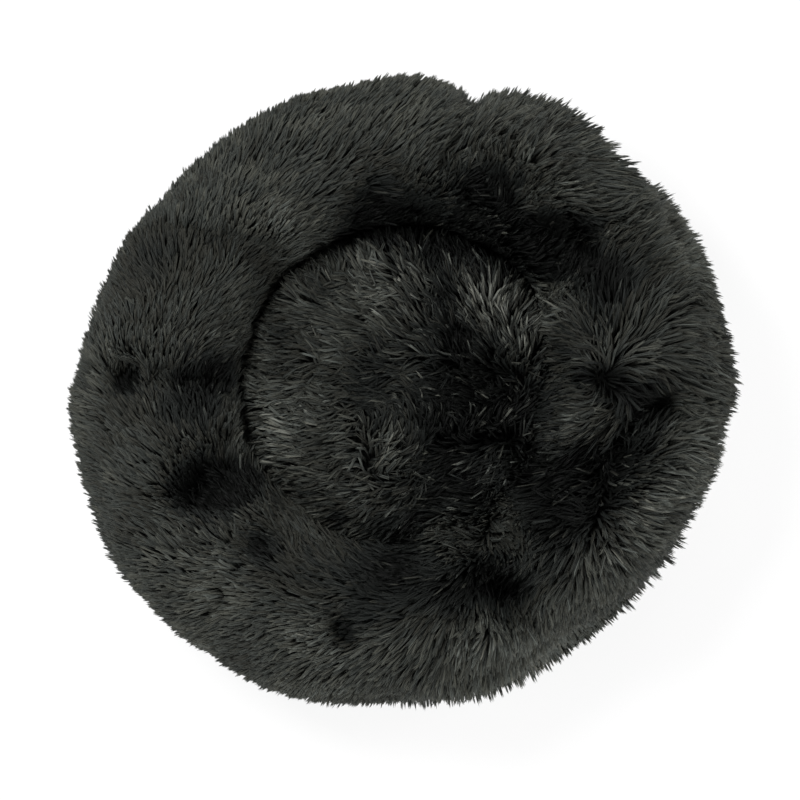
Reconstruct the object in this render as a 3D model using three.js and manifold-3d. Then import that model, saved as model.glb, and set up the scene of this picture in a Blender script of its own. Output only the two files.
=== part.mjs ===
// Donut pet bed: a stuffed long-pile rim round a domed plush seat, on a base cloth, with a zip round part of
// the foot through which the rim's bag of filling goes in and out.
// Millimetres, +Z up. The origin is on the floor under the middle of the bed, and +Y is its far side.
import * as THREE from 'three';
import { mergeVertices } from 'three/addons/utils/BufferGeometryUtils.js';
import Module from 'manifold-3d';

const wasm = await Module();
wasm.setup();

// Overall size. The rim is measured over the lie of its pile.
const bedRadius = 292;
const bedHeight = 192;
const openingRadius = 138;

// How far the photographed bed is from a true ring: it is a little long on one line, and the nest's mouth
// lies off the middle. Directions are in degrees from +X towards +Y.
const stretch = 9;
const stretchDirection = 20;
const mouthShift = 11;
const mouthShiftDirection = 129;

// Thickness of each layer, and the room between them.
const pile = 12;
const hemPile = 8;
const liningThickness = 1.2;
const liningRoom = 0.8;
const clearance = 0.3;
const cutOverrun = 1;

// The seam where the rim meets the seat, and the tape sewn behind it.
const seamSetback = 12;
const seamRadius = openingRadius + seamSetback;
const seamHeight = 74;
const bindingThickness = 2.6;
const bindingWidth = 8;
const seamRoom = 1.6;

// The seat and the pad under it.
const seatRise = 42;
const seatEdgeRise = 1.4;
const seatFullness = 7;
const padSideInset = 4;
const padCorner = 12;
const padSeamHeight = 36;

// The base cloth and the foot of the rim, which leans in above the floor so that the zip faces up and out.
const baseThickness = 1.5;
const footInset = 24;
const footRadius = bedRadius - footInset;
const footLean = THREE.MathUtils.degToRad(25);
const zipHeight = 36;
const footCorner = 9;
const footStandOut = 3;

// The bag of filling inside the rim.
const waistDepth = 6;
const bagFootInset = 6;
const bagCorner = 12;
const bagHeelRoom = 2;
const bagEndSteps = 2;

// Tucks pulled into the stuffed rim. Each lies at an angle in degrees. Its depth is a share of the deepest
// tuck's, which is a share of the rim's width. Its middle and reach across the rim are shares of the way from
// the seat seam, over the crest, to the foot.
const rimWidth = bedRadius - openingRadius;
const tuckDepthShare = 0.175;
const tuckDepth = tuckDepthShare * rimWidth;
const tuckWidthDegrees = 5;
const tuckFlankDegrees = 4;
const tucks = [
  { at: 40, depthShare: 0.6, middleShare: 0.45, reachShare: 0.4 },
  { at: 77, depthShare: 1, middleShare: 0.66, reachShare: 0.55 },
  { at: 142, depthShare: 0.45, middleShare: 0.4, reachShare: 0.28 },
  { at: 179, depthShare: 0.6, middleShare: 0.7, reachShare: 0.3 },
  { at: 233, depthShare: 0.45, middleShare: 0.6, reachShare: 0.3 },
  { at: 258, depthShare: 0.45, middleShare: 0.62, reachShare: 0.25 },
  { at: 299, depthShare: 0.6, middleShare: 0.5, reachShare: 0.35 },
  { at: 353, depthShare: 0.6, middleShare: 0.68, reachShare: 0.3 },
];
const coverSeamDegrees = [77, 258];
// Broad hollows where the stuffing has sunk, and lobes, of negative depth, where it stands up.
const hollows = [
  { at: 68, depthShare: 0.95, reachDegrees: 8, middleShare: 0.36, reachShare: 0.12 },
  { at: 51, depthShare: 1.1, reachDegrees: 8, middleShare: 0.31, reachShare: 0.12 },
  { at: 37, depthShare: 0.75, reachDegrees: 6, middleShare: 0.42, reachShare: 0.1 },
  { at: 341, depthShare: 1.1, reachDegrees: 8, middleShare: 0.37, reachShare: 0.11 },
  { at: 327, depthShare: 0.75, reachDegrees: 7, middleShare: 0.32, reachShare: 0.11 },
  { at: 298, depthShare: 0.95, reachDegrees: 7, middleShare: 0.41, reachShare: 0.1 },
  { at: 207, depthShare: 0.8, reachDegrees: 6, middleShare: 0.4, reachShare: 0.1 },
  { at: 14, depthShare: -0.4, reachDegrees: 8, middleShare: 0.4, reachShare: 0.12 },
  { at: 318, depthShare: -0.5, reachDegrees: 7, middleShare: 0.52, reachShare: 0.12 },
];
// The rim's lip over the seat droops on one side, by a share of the deepest tuck.
const lipDroopShare = 0.45;
const lipDroopDirection = 330;
const lipDroopFade = [-0.45, 0.25];
const lipMiddleShare = 0.2;
const lipReachShare = 0.11;
// The tucks, the stretch and the mouth's shift fade in and out along these shares of the same way.
const seamFadeShares = [0, 0.15];
const hemFadeShares = [0, 0.2];
const stretchShares = [0.4, 0.75];
const mouthRiseShares = [0, 0.1];
const mouthFallShares = [0.2, 0.55];
const largestStepDegrees = 7;
const leastStepDegrees = 0.6;

// The rim's section over its pile, from the inner bulge to the outer one: how far across and how far up.
const sectionShares = [
  [0, 0.56],
  [0.1, 0.8],
  [0.29, 0.95],
  [0.51, 1],
  [0.74, 0.95],
  [0.92, 0.79],
  [1, 0.57],
  [0.975, 0.385],
];
const sectionSteps = 10;

// The zip: its length in whole teeth, its tapes, and the slot between the hems in which the slider runs.
const zipLength = 387.2;
const toothPitch = 4.4;
const toothNeck = 1.3;
const toothHead = 2.1;
const toothReach = 3.5;
const toothOverlap = 2.6;
const toothThickness = 2.4;
const beadWidth = 2;
const tapeThickness = 0.8;
const tapeWidth = 12.5;
const tapeTuck = 16;
const tapeEndGap = 1.2;
const hemReach = 10.6;
const slotEndRoom = 12;
const slotEndDegrees = 0.4;

// The slider, its bridge and the pull.
const sliderDegrees = 75.5;
const sliderLength = 18;
const sliderPlate = 1.4;
const sliderRoom = 0.4;
const sliderWall = 1.1;
const rowParting = 3.2;
const partingTeeth = 2;
const postLength = 4.4;
const bridgeLength = 10;
const bridgeWidth = 2.6;
const bridgeBar = 1.4;
const bridgeRise = 3.2;
const pullThickness = 1.4;
const pullLength = 22;
const pullWidth = 8.4;
const pullNeckWidth = 6.4;
const pullEye = 6;
const pullArm = 1.5;
const pullHoleLength = 6;
const pullHoleWidth = 3.2;
const stopLength = 3.4;
const stopWall = 0.7;

const degrees = THREE.MathUtils.degToRad;
const smooth = THREE.MathUtils.smoothstep;

const pileCloth = new THREE.MeshStandardMaterial({ color: 0x2a2b29, roughness: 0.95, metalness: 0 });
const baseCloth = new THREE.MeshStandardMaterial({ color: 0x1d1e1f, roughness: 0.8, metalness: 0 });
const liningCloth = new THREE.MeshStandardMaterial({ color: 0xd8d8d4, roughness: 0.9, metalness: 0 });
const fibreFill = new THREE.MeshStandardMaterial({ color: 0xf2f2ef, roughness: 1, metalness: 0 });
const tapeWeave = new THREE.MeshStandardMaterial({ color: 0x1b1c1d, roughness: 0.85, metalness: 0 });
const toothPlastic = new THREE.MeshStandardMaterial({ color: 0x202122, roughness: 0.4, metalness: 0 });
const sliderMetal = new THREE.MeshStandardMaterial({ color: 0x2c2d30, roughness: 0.35, metalness: 1 });

const bed = new THREE.Group();
bed.name = 'donut_pet_bed';

function addPiece(name, geometry, material, parent = bed) {
  const mesh = new THREE.Mesh(geometry, material);
  mesh.name = name;
  parent.add(mesh);
  return mesh;
}

// Booleans. A closed geometry becomes a solid, and a solid becomes a geometry again.
function solidOf(geometry) {
  const bare = geometry.clone();
  bare.deleteAttribute('normal');
  bare.deleteAttribute('uv');
  const merged = mergeVertices(bare);
  const vertProperties = new Float32Array(merged.attributes.position.array);
  const triVerts = new Uint32Array(merged.index.array);
  return new wasm.Manifold(new wasm.Mesh({ numProp: 3, vertProperties, triVerts }));
}

function geometryOf(solid) {
  const mesh = solid.getMesh();
  return geometryFrom(mesh.vertProperties, mesh.triVerts);
}

function geometryFrom(positions, triangles) {
  const geometry = new THREE.BufferGeometry();
  geometry.setAttribute('position', new THREE.BufferAttribute(new Float32Array(positions), 3));
  geometry.setIndex(new THREE.BufferAttribute(new Uint32Array(triangles), 1));
  geometry.computeVertexNormals();
  return geometry;
}

// Flat outlines. Points are Vector2, of radius and height, or of two directions along the zip's band.
const point = (x, y) => new THREE.Vector2(x, y);

function leftNormal(from, to) {
  const along = to.clone().sub(from).normalize();
  return point(-along.y, along.x);
}

// The same line moved to the left of its travel, its corners mitred.
function movedLeft(points, distance, closed) {
  const last = points.length - 1;
  return points.map((here, i) => {
    const before = i > 0 ? points[i - 1] : closed ? points[last] : null;
    const after = i < last ? points[i + 1] : closed ? points[0] : null;
    const first = before ? leftNormal(before, here) : leftNormal(here, after);
    const second = after ? leftNormal(here, after) : first;
    const mitre = first.clone().add(second).multiplyScalar(distance / (1 + first.dot(second)));
    return here.clone().add(mitre);
  });
}

// A closed section, counter-clockwise with radius to the right and height up, carried through a list of
// angles. It closes on itself when it goes all round, and otherwise ends in flat faces. A shell's section
// lists its outside and then its inside. Each four-sided face is split along the same corners on both sides
// of a shell, so that nested pieces follow each other in the tucks.
function loft(sectionAt, angles, allRound, outsideCount = Infinity) {
  const positions = [];
  const triangles = [];
  const sections = angles.map(sectionAt);
  const count = sections[0].length;
  sections.forEach((section, i) => {
    const turn = degrees(angles[i]);
    section.forEach((p) => positions.push(p.x * Math.cos(turn), p.x * Math.sin(turn), p.y));
  });
  const spans = allRound ? angles.length : angles.length - 1;
  for (let i = 0; i < spans; i++) {
    const here = i * count;
    const there = ((i + 1) % angles.length) * count;
    for (let j = 0; j < count; j++) {
      const k = (j + 1) % count;
      if (j < outsideCount) triangles.push(here + j, there + j, here + k, there + j, there + k, here + k);
      else triangles.push(here + j, there + j, there + k, here + j, there + k, here + k);
    }
  }
  if (!allRound) {
    const far = (angles.length - 1) * count;
    for (const [a, b, c] of THREE.ShapeUtils.triangulateShape(sections[0], [])) triangles.push(a, b, c);
    for (const [a, b, c] of THREE.ShapeUtils.triangulateShape(sections.at(-1), [])) {
      triangles.push(far + a, far + c, far + b);
    }
  }
  return geometryFrom(positions, triangles);
}

// A round piece, from half its section listed counter-clockwise, starting and ending on the axis or closed.
function turned(profile, segments) {
  const geometry = new THREE.LatheGeometry(profile, segments);
  geometry.rotateX(Math.PI / 2);
  const bare = geometry.clone();
  bare.deleteAttribute('normal');
  bare.deleteAttribute('uv');
  return mergeVertices(bare);
}

// The zip's band is a cone round the foot. A place on it is named by how far up the band it lies from the
// zip's middle line, and how far out of the band it stands.
const bandRadius = (up, out) => footRadius - up * Math.sin(footLean) + out * Math.cos(footLean);
const bandHeight = (up, out) => zipHeight + up * Math.cos(footLean) + out * Math.sin(footLean);
const onBand = (up, out) => point(bandRadius(up, out), bandHeight(up, out));
const alongZip = (distance) => sliderDegrees + THREE.MathUtils.radToDeg(distance / footRadius);

// Where the zip's teeth, tapes and slot begin and end, along the zip from the closed slider's middle.
const halfSlider = sliderLength / 2;
const teethPerRow = Math.round(zipLength / toothPitch);
const teethEnd = partingTeeth * toothPitch;
const teethStart = teethEnd - teethPerRow * toothPitch;
const topStopStart = halfSlider + 2 * clearance;
const slotEnd = topStopStart + stopLength + slotEndRoom;
const slotStart = teethStart - stopLength - slotEndRoom;
const slotEnds = [alongZip(slotStart), alongZip(slotEnd)];

// Chords of the rim's coarse stations cut inside the true circle by this much.
const chordDip = bedRadius * (1 - Math.cos(degrees(largestStepDegrees / 2)));
const tapeFace = tapeThickness / 2;
const tapeFar = hemReach + tapeWidth / 2;
const baseFace = tapeFace + 2 * clearance;
const baseOutside = baseFace + baseThickness;

function angleFrom(one, other) {
  return THREE.MathUtils.euclideanModulo(one - other + 180, 360) - 180;
}

const inSlot = (angle) => {
  const way = THREE.MathUtils.euclideanModulo(angle - slotEnds[0], 360);
  return way < slotEnds[1] - slotEnds[0];
};

// The two edges of the rim cover's hem at the foot. Over the zip the hem is stitched to the upper tape, and
// elsewhere it comes down over the base cloth's turned-up edge.
function hemAt(angle) {
  const slotted = inSlot(angle);
  const up = slotted ? hemReach : -hemReach;
  const lap = (slotted ? tapeFace : baseOutside) + clearance + chordDip;
  return { inside: onBand(up, lap), outside: onBand(up, lap + hemPile) };
}

function tuckedIn(angle, share) {
  let depth = 0;
  for (const tuck of tucks) {
    const around = Math.abs(angleFrom(angle, tuck.at)) / tuckWidthDegrees;
    const across = (share - tuck.middleShare) / tuck.reachShare;
    depth += tuckDepth * tuck.depthShare * Math.exp(-around - across * across);
  }
  for (const hollow of hollows) {
    const around = angleFrom(angle, hollow.at) / hollow.reachDegrees;
    const across = (share - hollow.middleShare) / hollow.reachShare;
    depth += tuckDepth * hollow.depthShare * Math.exp(-around * around - across * across);
  }
  const onLip = (share - lipMiddleShare) / lipReachShare;
  const drooping = smooth(Math.cos(degrees(angle - lipDroopDirection)), ...lipDroopFade);
  depth += tuckDepth * lipDroopShare * drooping * Math.exp(-onLip * onLip);
  return depth * smooth(share, ...seamFadeShares) * smooth(1 - share, ...hemFadeShares);
}

// The rim cover's outer line at an angle, from the seat seam over the crest to the foot hem.
function pileLine(angle) {
  const control = sectionShares.map(([across, up]) => {
    return point(openingRadius + across * rimWidth, up * bedHeight);
  });
  const curve = new THREE.SplineCurve([point(seamRadius, seamHeight), ...control, hemAt(angle).outside]);
  const line = curve.getPoints(sectionSteps);
  const stretched = stretch * Math.cos(2 * degrees(angle - stretchDirection));
  const shifted = mouthShift * Math.cos(degrees(angle - mouthShiftDirection));
  return line.map((here, i) => {
    const share = i / sectionSteps;
    const before = line[Math.max(i - 1, 0)];
    const after = line[Math.min(i + 1, sectionSteps)];
    const moved = here.clone().addScaledVector(leftNormal(before, after), -tuckedIn(angle, share));
    const outer = smooth(share, ...stretchShares) * smooth(1 - share, ...hemFadeShares);
    const inner = smooth(share, ...mouthRiseShares) * (1 - smooth(share, ...mouthFallShares));
    moved.x += stretched * outer + shifted * inner;
    return moved;
  });
}

function coverSection(angle) {
  const outside = pileLine(angle);
  const inside = movedLeft(outside, -pile, false);
  inside[0] = point(seamRadius + hemPile, seamHeight);
  inside[sectionSteps] = hemAt(angle).inside;
  return [...outside.reverse(), ...inside];
}

// The rim bag's outer loop, counter-clockwise from the waist behind the zip: foot, heel, then over the top.
const bagFloor = baseThickness + clearance;
function bagLoop(angle) {
  const lined = movedLeft(pileLine(angle), -(pile + liningRoom), false);
  const over = lined.slice(bagEndSteps, sectionSteps - bagEndSteps + 1);
  const foot = footRadius - bagFootInset;
  const heel = seamRadius + hemPile + bagHeelRoom;
  return [
    point(heel, seamHeight),
    point(heel, bagFloor + bagCorner),
    point(heel + bagCorner, bagFloor),
    point(foot - bagCorner, bagFloor),
    point(foot, bagFloor + bagCorner),
    onBand(tapeFar + clearance, -waistDepth),
    ...over.reverse(),
  ];
}
const bagOuterSeam = 6;
const bagInnerSeam = bagOuterSeam + sectionSteps - 2 * bagEndSteps;

// Stations round the rim: at each tuck and its flanks, at the slot's ends, and evenly between.
const marks = tucks.flatMap(({ at }) => [at - tuckFlankDegrees, at, at + tuckFlankDegrees]);
for (const end of slotEnds) marks.push(end - slotEndDegrees, end + slotEndDegrees);

function stations(from, to) {
  const within = [from, to];
  for (const mark of marks) {
    const angle = from + THREE.MathUtils.euclideanModulo(mark - from, 360);
    if (angle > from + leastStepDegrees && angle < to - leastStepDegrees) within.push(angle);
  }
  within.sort((a, b) => a - b);
  return within.flatMap((angle, i) => {
    if (i === 0) return [angle];
    const span = angle - within[i - 1];
    const steps = Math.ceil(span / largestStepDegrees);
    return Array.from({ length: steps }, (_, n) => within[i - 1] + (span * (n + 1)) / steps);
  });
}

// Rim cover: two long-pile panels that meet in a seam at each end.
const halfSeam = THREE.MathUtils.radToDeg(clearance / 2 / seamRadius);
const [farSeam, nearSeam] = coverSeamDegrees;
const coverLeft = stations(farSeam + halfSeam, nearSeam - halfSeam);
const coverRight = stations(nearSeam + halfSeam, farSeam + 360 - halfSeam);
addPiece('rim_cover_left', loft(coverSection, coverLeft, false, sectionSteps + 1), pileCloth);
addPiece('rim_cover_right', loft(coverSection, coverRight, false, sectionSteps + 1), pileCloth);

// Rim bag: a lining sewn from a lower and an upper half. The upper half's edges stand a seam's gap clear.
const allRound = stations(farSeam, farSeam + 360).slice(0, -1);

function bagShell(angle, pick) {
  const outside = bagLoop(angle);
  const inside = movedLeft(outside, liningThickness, true);
  const out = pick(outside);
  const back = pick(inside).reverse();
  return [...out, ...back];
}

function upperHalf(loop) {
  const part = loop.slice(bagOuterSeam, bagInnerSeam + 1);
  const first = part[1].clone().sub(part[0]).setLength(clearance);
  const last = part.at(-2).clone().sub(part.at(-1)).setLength(clearance);
  part[0] = part[0].clone().add(first);
  part[part.length - 1] = part.at(-1).clone().add(last);
  return part;
}

const lowerHalf = (loop) => [...loop.slice(bagInnerSeam), ...loop.slice(0, bagOuterSeam + 1)];
const upperCount = bagInnerSeam - bagOuterSeam + 1;
const lowerCount = bagLoop(farSeam).length - upperCount + 2;
const bagUpper = loft((angle) => bagShell(angle, upperHalf), allRound, true, upperCount);
const bagLower = loft((angle) => bagShell(angle, lowerHalf), allRound, true, lowerCount);
addPiece('bolster_lining_top', bagUpper, liningCloth);
addPiece('bolster_lining_bottom', bagLower, liningCloth);

// Rim filling: a wad of fibre between each two tucks.
const wadRoom = THREE.MathUtils.radToDeg(clearance / seamRadius);
tucks.forEach((tuck, i) => {
  const next = tucks[(i + 1) % tucks.length].at;
  const end = next > tuck.at ? next : next + 360;
  const wad = (angle) => movedLeft(bagLoop(angle), liningThickness + 2 * clearance, true);
  const angles = stations(tuck.at + wadRoom, end - wadRoom);
  addPiece(`bolster_filling_${i + 1}`, loft(wad, angles, false), fibreFill);
});

// Seat: a domed long-pile disc, the tape behind its seam, and a pad in its own lining.
const seatRadius = seamRadius - seamRoom;
const seatSegments = 48;
const seatShares = [0, 0.35, 0.62, 0.8, 0.9, 0.965, 1];
const seatCrown = (share) => (seatRise - seatEdgeRise) * (1 - share ** seatFullness);
const domeAt = (share) => seamHeight + seatEdgeRise + seatCrown(share);
const hemFloor = seamHeight + clearance;
const seatTop = seatShares.map((share) => point(share * seatRadius, domeAt(share)));
const underSeat = (share) => Math.max(domeAt(share) - pile, hemFloor);
const seatUnder = seatShares.map((share) => point(share * seatRadius, underSeat(share)));
addPiece('seat_cover', turned([...seatUnder, ...seatTop.reverse()], seatSegments), pileCloth);

const bindingTop = seamHeight - clearance;
addPiece('seat_seam_binding', turned([
  point(seamRadius - bindingWidth / 2, bindingTop - bindingThickness),
  point(seamRadius + bindingWidth / 2, bindingTop - bindingThickness),
  point(seamRadius + bindingWidth / 2, bindingTop),
  point(seamRadius - bindingWidth / 2, bindingTop),
  point(seamRadius - bindingWidth / 2, bindingTop - bindingThickness),
], seatSegments), tapeWeave);

const padRadius = seamRadius - padSideInset;
const padShoulder = bindingTop - bindingThickness - padCorner;
const padSegments = 36;
const padTopShares = seatShares.slice(1, -2);
const padTop = padTopShares.map((share) => point(share * seatRadius, underSeat(share) - clearance));
const padOutline = [
  point(0, bagFloor),
  point(padRadius - padCorner, bagFloor),
  point(padRadius, bagFloor + padCorner),
  point(padRadius, padSeamHeight),
  point(padRadius, padShoulder),
  ...padTop.reverse(),
  point(0, underSeat(0) - clearance),
];
const padSeam = 3;

// The pad's outline moved inwards, with its ends kept on the axis.
function padInset(depth) {
  const inner = movedLeft(padOutline, depth, false);
  inner[0].x = 0;
  inner.at(-1).x = 0;
  return inner;
}

const padLower = padOutline.slice(0, padSeam + 1);
const padLowerInside = padInset(liningThickness).slice(0, padSeam + 1);
const padUpper = padOutline.slice(padSeam);
const padUpperInside = padInset(liningThickness).slice(padSeam);
for (const line of [padUpper, padUpperInside]) line[0] = point(line[0].x, padSeamHeight + clearance);
addPiece('pad_lining_bottom', turned([...padLower, ...padLowerInside.reverse()], padSegments), liningCloth);
addPiece('pad_lining_top', turned([...padUpperInside.reverse(), ...padUpper], padSegments), liningCloth);
addPiece('pad_filling', turned(padInset(liningThickness + clearance), padSegments), fibreFill);

// Base cloth: flat on the floor, rolled up round the foot and lapped over the lower tape.
const baseCornerCentre = footRadius + footStandOut;
const baseSegments = 60;
const cornerTurns = [-90, -45, 0];
const baseOuter = [
  point(0, 0),
  ...cornerTurns.map((turn) => point(
    baseCornerCentre + footCorner * Math.cos(degrees(turn)),
    footCorner + footCorner * Math.sin(degrees(turn)),
  )),
  onBand(-tapeFar, baseOutside),
  onBand(-hemReach, baseOutside),
];
const baseInner = movedLeft(baseOuter, baseThickness, false);
baseInner[0].x = 0;
addPiece('base_panel', turned([...baseOuter, ...baseInner.reverse()], baseSegments), baseCloth);

// Zip rows. A row is a moulded bead with a tooth at each pitch, wider at its head than at its neck so that
// the rows hook into each other. Ahead of the slider's throat the rows part round its post.
const beadInner = toothReach - toothOverlap / 2;
const beadOuter = beadInner + beadWidth;
const toothTip = -toothOverlap / 2;
const rowThrow = { upper: 0, lower: toothPitch / 2 };

function parting(distance, side) {
  const from = rowThrow[side] - toothPitch;
  const share = THREE.MathUtils.clamp((distance - from) / (partingTeeth * toothPitch), 0, 1);
  return rowParting * share;
}

function zipRow(side) {
  const flat = [];
  const triangles = [];
  const bottom = [];
  const top = [];
  const add = (along, up) => flat.push([along, up + parting(along, side)]) - 1;
  const teeth = side === 'upper' ? teethPerRow : teethPerRow - 1;
  const start = teethStart + rowThrow[side];
  let corner = add(start, beadOuter);
  let foot = add(start, beadInner);
  top.push(corner);
  bottom.push(foot);
  for (let i = 0; i < teeth; i++) {
    const middle = start + (i + 0.5) * toothPitch;
    const neck = [add(middle - toothNeck / 2, beadInner), add(middle + toothNeck / 2, beadInner)];
    const head = [add(middle - toothHead / 2, toothTip), add(middle + toothHead / 2, toothTip)];
    const next = add(start + (i + 1) * toothPitch, beadOuter);
    triangles.push([corner, foot, neck[0]], [corner, neck[0], neck[1]], [corner, neck[1], next]);
    triangles.push([neck[0], head[0], head[1]], [neck[0], head[1], neck[1]]);
    bottom.push(neck[0], head[0], head[1], neck[1]);
    top.push(next);
    corner = next;
    foot = neck[1];
  }
  const end = [add(teethEnd, beadInner)];
  if (side === 'lower') end.push(add(teethEnd, beadOuter));
  triangles.push([corner, foot, end[0]]);
  bottom.push(end[0]);
  if (side === 'lower') {
    triangles.push([corner, end[0], end[1]]);
    top.push(end[1]);
  }
  const outline = [...bottom, ...top.reverse()];
  const sign = side === 'upper' ? 1 : -1;
  const positions = [];
  for (const out of [toothThickness / 2, -toothThickness / 2]) {
    for (const [along, up] of flat) {
      const turn = degrees(alongZip(along));
      const place = onBand(sign * up, out);
      positions.push(place.x * Math.cos(turn), place.x * Math.sin(turn), place.y);
    }
  }
  const back = flat.length;
  const faces = [];
  const put = (a, b, c) => faces.push(...(sign > 0 ? [a, b, c] : [a, c, b]));
  for (const [a, b, c] of triangles) {
    put(a, b, c);
    put(back + a, back + c, back + b);
  }
  outline.forEach((a, i) => {
    const b = outline[(i + 1) % outline.length];
    put(a, back + a, b);
    put(back + a, back + b, b);
  });
  return geometryFrom(positions, faces);
}
addPiece('zip_teeth_upper', zipRow('upper'), toothPlastic);
addPiece('zip_teeth_lower', zipRow('lower'), toothPlastic);

// Zip tapes: each runs along its row's bead, past both ends of the slot and in under the cover.
const tapeSteps = 3;
function zipTape(side) {
  const sign = side === 'upper' ? 1 : -1;
  const start = teethStart + rowThrow[side];
  const cells = Math.round((teethEnd - start) / toothPitch);
  const closed = tapeEndGap / 2;
  const beside = (distance) => [distance, beadOuter + clearance + parting(distance, side)];
  const edges = [[slotStart - tapeTuck, closed], [start - beadOuter, closed]];
  for (let i = 0; i < cells - tapeSteps; i += tapeSteps) edges.push(beside(start + i * toothPitch));
  for (let i = cells - tapeSteps; i < cells; i++) edges.push(beside(start + i * toothPitch));
  const beyond = topStopStart + stopLength + clearance;
  edges.push(beside(teethEnd), beside(beyond));
  edges.push([beyond + rowParting + beadOuter, closed], [slotEnd + tapeTuck, closed]);
  const section = (_, i) => {
    const near = sign * edges[i][1];
    const far = sign * tapeFar;
    const loop = [
      onBand(near, -tapeFace), onBand(near, tapeFace), onBand(far, tapeFace), onBand(far, -tapeFace),
    ];
    return sign > 0 ? loop : loop.reverse();
  };
  return loft(section, edges.map(([distance]) => alongZip(distance)), false);
}
addPiece('zip_tape_upper', zipTape('upper'), tapeWeave);
addPiece('zip_tape_lower', zipTape('lower'), tapeWeave);

// Pieces that stand on the band are drawn flat, with X along the zip, Y up the band and Z out of it.
function bandFrame(distance) {
  const turn = degrees(alongZip(distance));
  const along = new THREE.Vector3(-Math.sin(turn), Math.cos(turn), 0);
  const radial = new THREE.Vector3(Math.cos(turn), Math.sin(turn), 0);
  const up = radial.clone().multiplyScalar(-Math.sin(footLean)).setZ(Math.cos(footLean));
  const out = radial.clone().multiplyScalar(Math.cos(footLean)).setZ(Math.sin(footLean));
  const frame = new THREE.Group();
  frame.quaternion.setFromRotationMatrix(new THREE.Matrix4().makeBasis(along, up, out));
  frame.position.copy(radial.multiplyScalar(footRadius)).setZ(zipHeight);
  bed.add(frame);
  return frame;
}

function plate(shape, low, high, curveSegments = 4) {
  const options = { depth: high - low, bevelEnabled: false, curveSegments };
  return new THREE.ExtrudeGeometry(shape, options).translate(0, 0, low);
}

function block(left, right, low, high, back, front) {
  const geometry = new THREE.BoxGeometry(right - left, high - low, front - back);
  return geometry.translate((left + right) / 2, (low + high) / 2, (back + front) / 2);
}

// Slider: two shield-shaped plates joined by the post at the nose, with edges that hold the rows together and
// slots between the edges for the tapes. It is cut from one body by the Y-shaped way of the rows.
const toothFace = toothThickness / 2;
const channel = toothFace + sliderRoom;
const sliderFace = channel + sliderPlate;
const tailHalf = beadOuter + sliderRoom;
const noseHalf = tailHalf + rowParting;
const tapeSlot = tapeFace + sliderRoom;

function shield(outset) {
  const tail = tailHalf + outset;
  const nose = noseHalf + outset;
  const half = halfSlider;
  return new THREE.Shape([
    point(-half, -tail + sliderWall), point(-half + sliderWall, -tail), point(-toothPitch, -tail),
    point(toothPitch, -nose), point(half - 2 * sliderWall, -nose), point(half, -nose + 2 * sliderWall),
    point(half, nose - 2 * sliderWall), point(half - 2 * sliderWall, nose), point(toothPitch, nose),
    point(-toothPitch, tail), point(-half + sliderWall, tail), point(-half, tail - sliderWall),
  ]);
}

function rowWay() {
  const end = halfSlider + cutOverrun;
  const way = new THREE.Shape([
    point(-end, -tailHalf), point(-toothPitch, -tailHalf), point(toothPitch, -noseHalf),
    point(end, -noseHalf), point(end, noseHalf), point(toothPitch, noseHalf),
    point(-toothPitch, tailHalf), point(-end, tailHalf),
  ]);
  const tip = halfSlider - postLength;
  const postHalf = rowParting + toothTip - sliderRoom;
  way.holes.push(new THREE.Path([
    point(tip, 0), point(halfSlider - sliderWall, -postHalf), point(halfSlider, -postHalf / 2),
    point(halfSlider, postHalf / 2), point(halfSlider - sliderWall, postHalf),
  ]));
  return way;
}

const bridgeHalf = bridgeLength / 2;
const bridgeTop = sliderFace + bridgeRise + bridgeBar;
const pivotHeight = sliderFace + bridgeRise / 2;

function bridge() {
  const sunk = sliderFace - sliderPlate / 2;
  const inner = bridgeHalf - bridgeBar - clearance;
  const under = bridgeTop - bridgeBar;
  const arch = new THREE.Shape();
  arch.moveTo(-bridgeHalf, sunk);
  arch.lineTo(-inner, sunk);
  arch.lineTo(-inner, under - bridgeBar / 2);
  arch.lineTo(-inner + bridgeBar / 2, under);
  arch.lineTo(inner - bridgeBar / 2, under);
  arch.lineTo(inner, under - bridgeBar / 2);
  arch.lineTo(inner, sunk);
  arch.lineTo(bridgeHalf, sunk);
  arch.lineTo(bridgeHalf, under - bridgeBar / 2);
  arch.quadraticCurveTo(bridgeHalf, bridgeTop, inner - bridgeBar / 2, bridgeTop);
  arch.lineTo(-inner + bridgeBar / 2, bridgeTop);
  arch.quadraticCurveTo(-bridgeHalf, bridgeTop, -bridgeHalf, under - bridgeBar / 2);
  const geometry = plate(arch, -bridgeWidth / 2, bridgeWidth / 2);
  return geometry.rotateX(Math.PI / 2);
}

function slider() {
  const wide = noseHalf + sliderWall + cutOverrun;
  const long = halfSlider + cutOverrun;
  let body = solidOf(plate(shield(sliderWall), -sliderFace, sliderFace));
  body = body.subtract(solidOf(plate(rowWay(), -channel, channel)));
  body = body.subtract(solidOf(block(-long, long, beadInner, wide, -tapeSlot, tapeSlot)));
  body = body.subtract(solidOf(block(-long, long, -wide, -beadInner, -tapeSlot, tapeSlot)));
  return geometryOf(body.add(solidOf(bridge())));
}
const sliderFrame = bandFrame(0);
addPiece('zip_slider', slider(), sliderMetal, sliderFrame);

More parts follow.
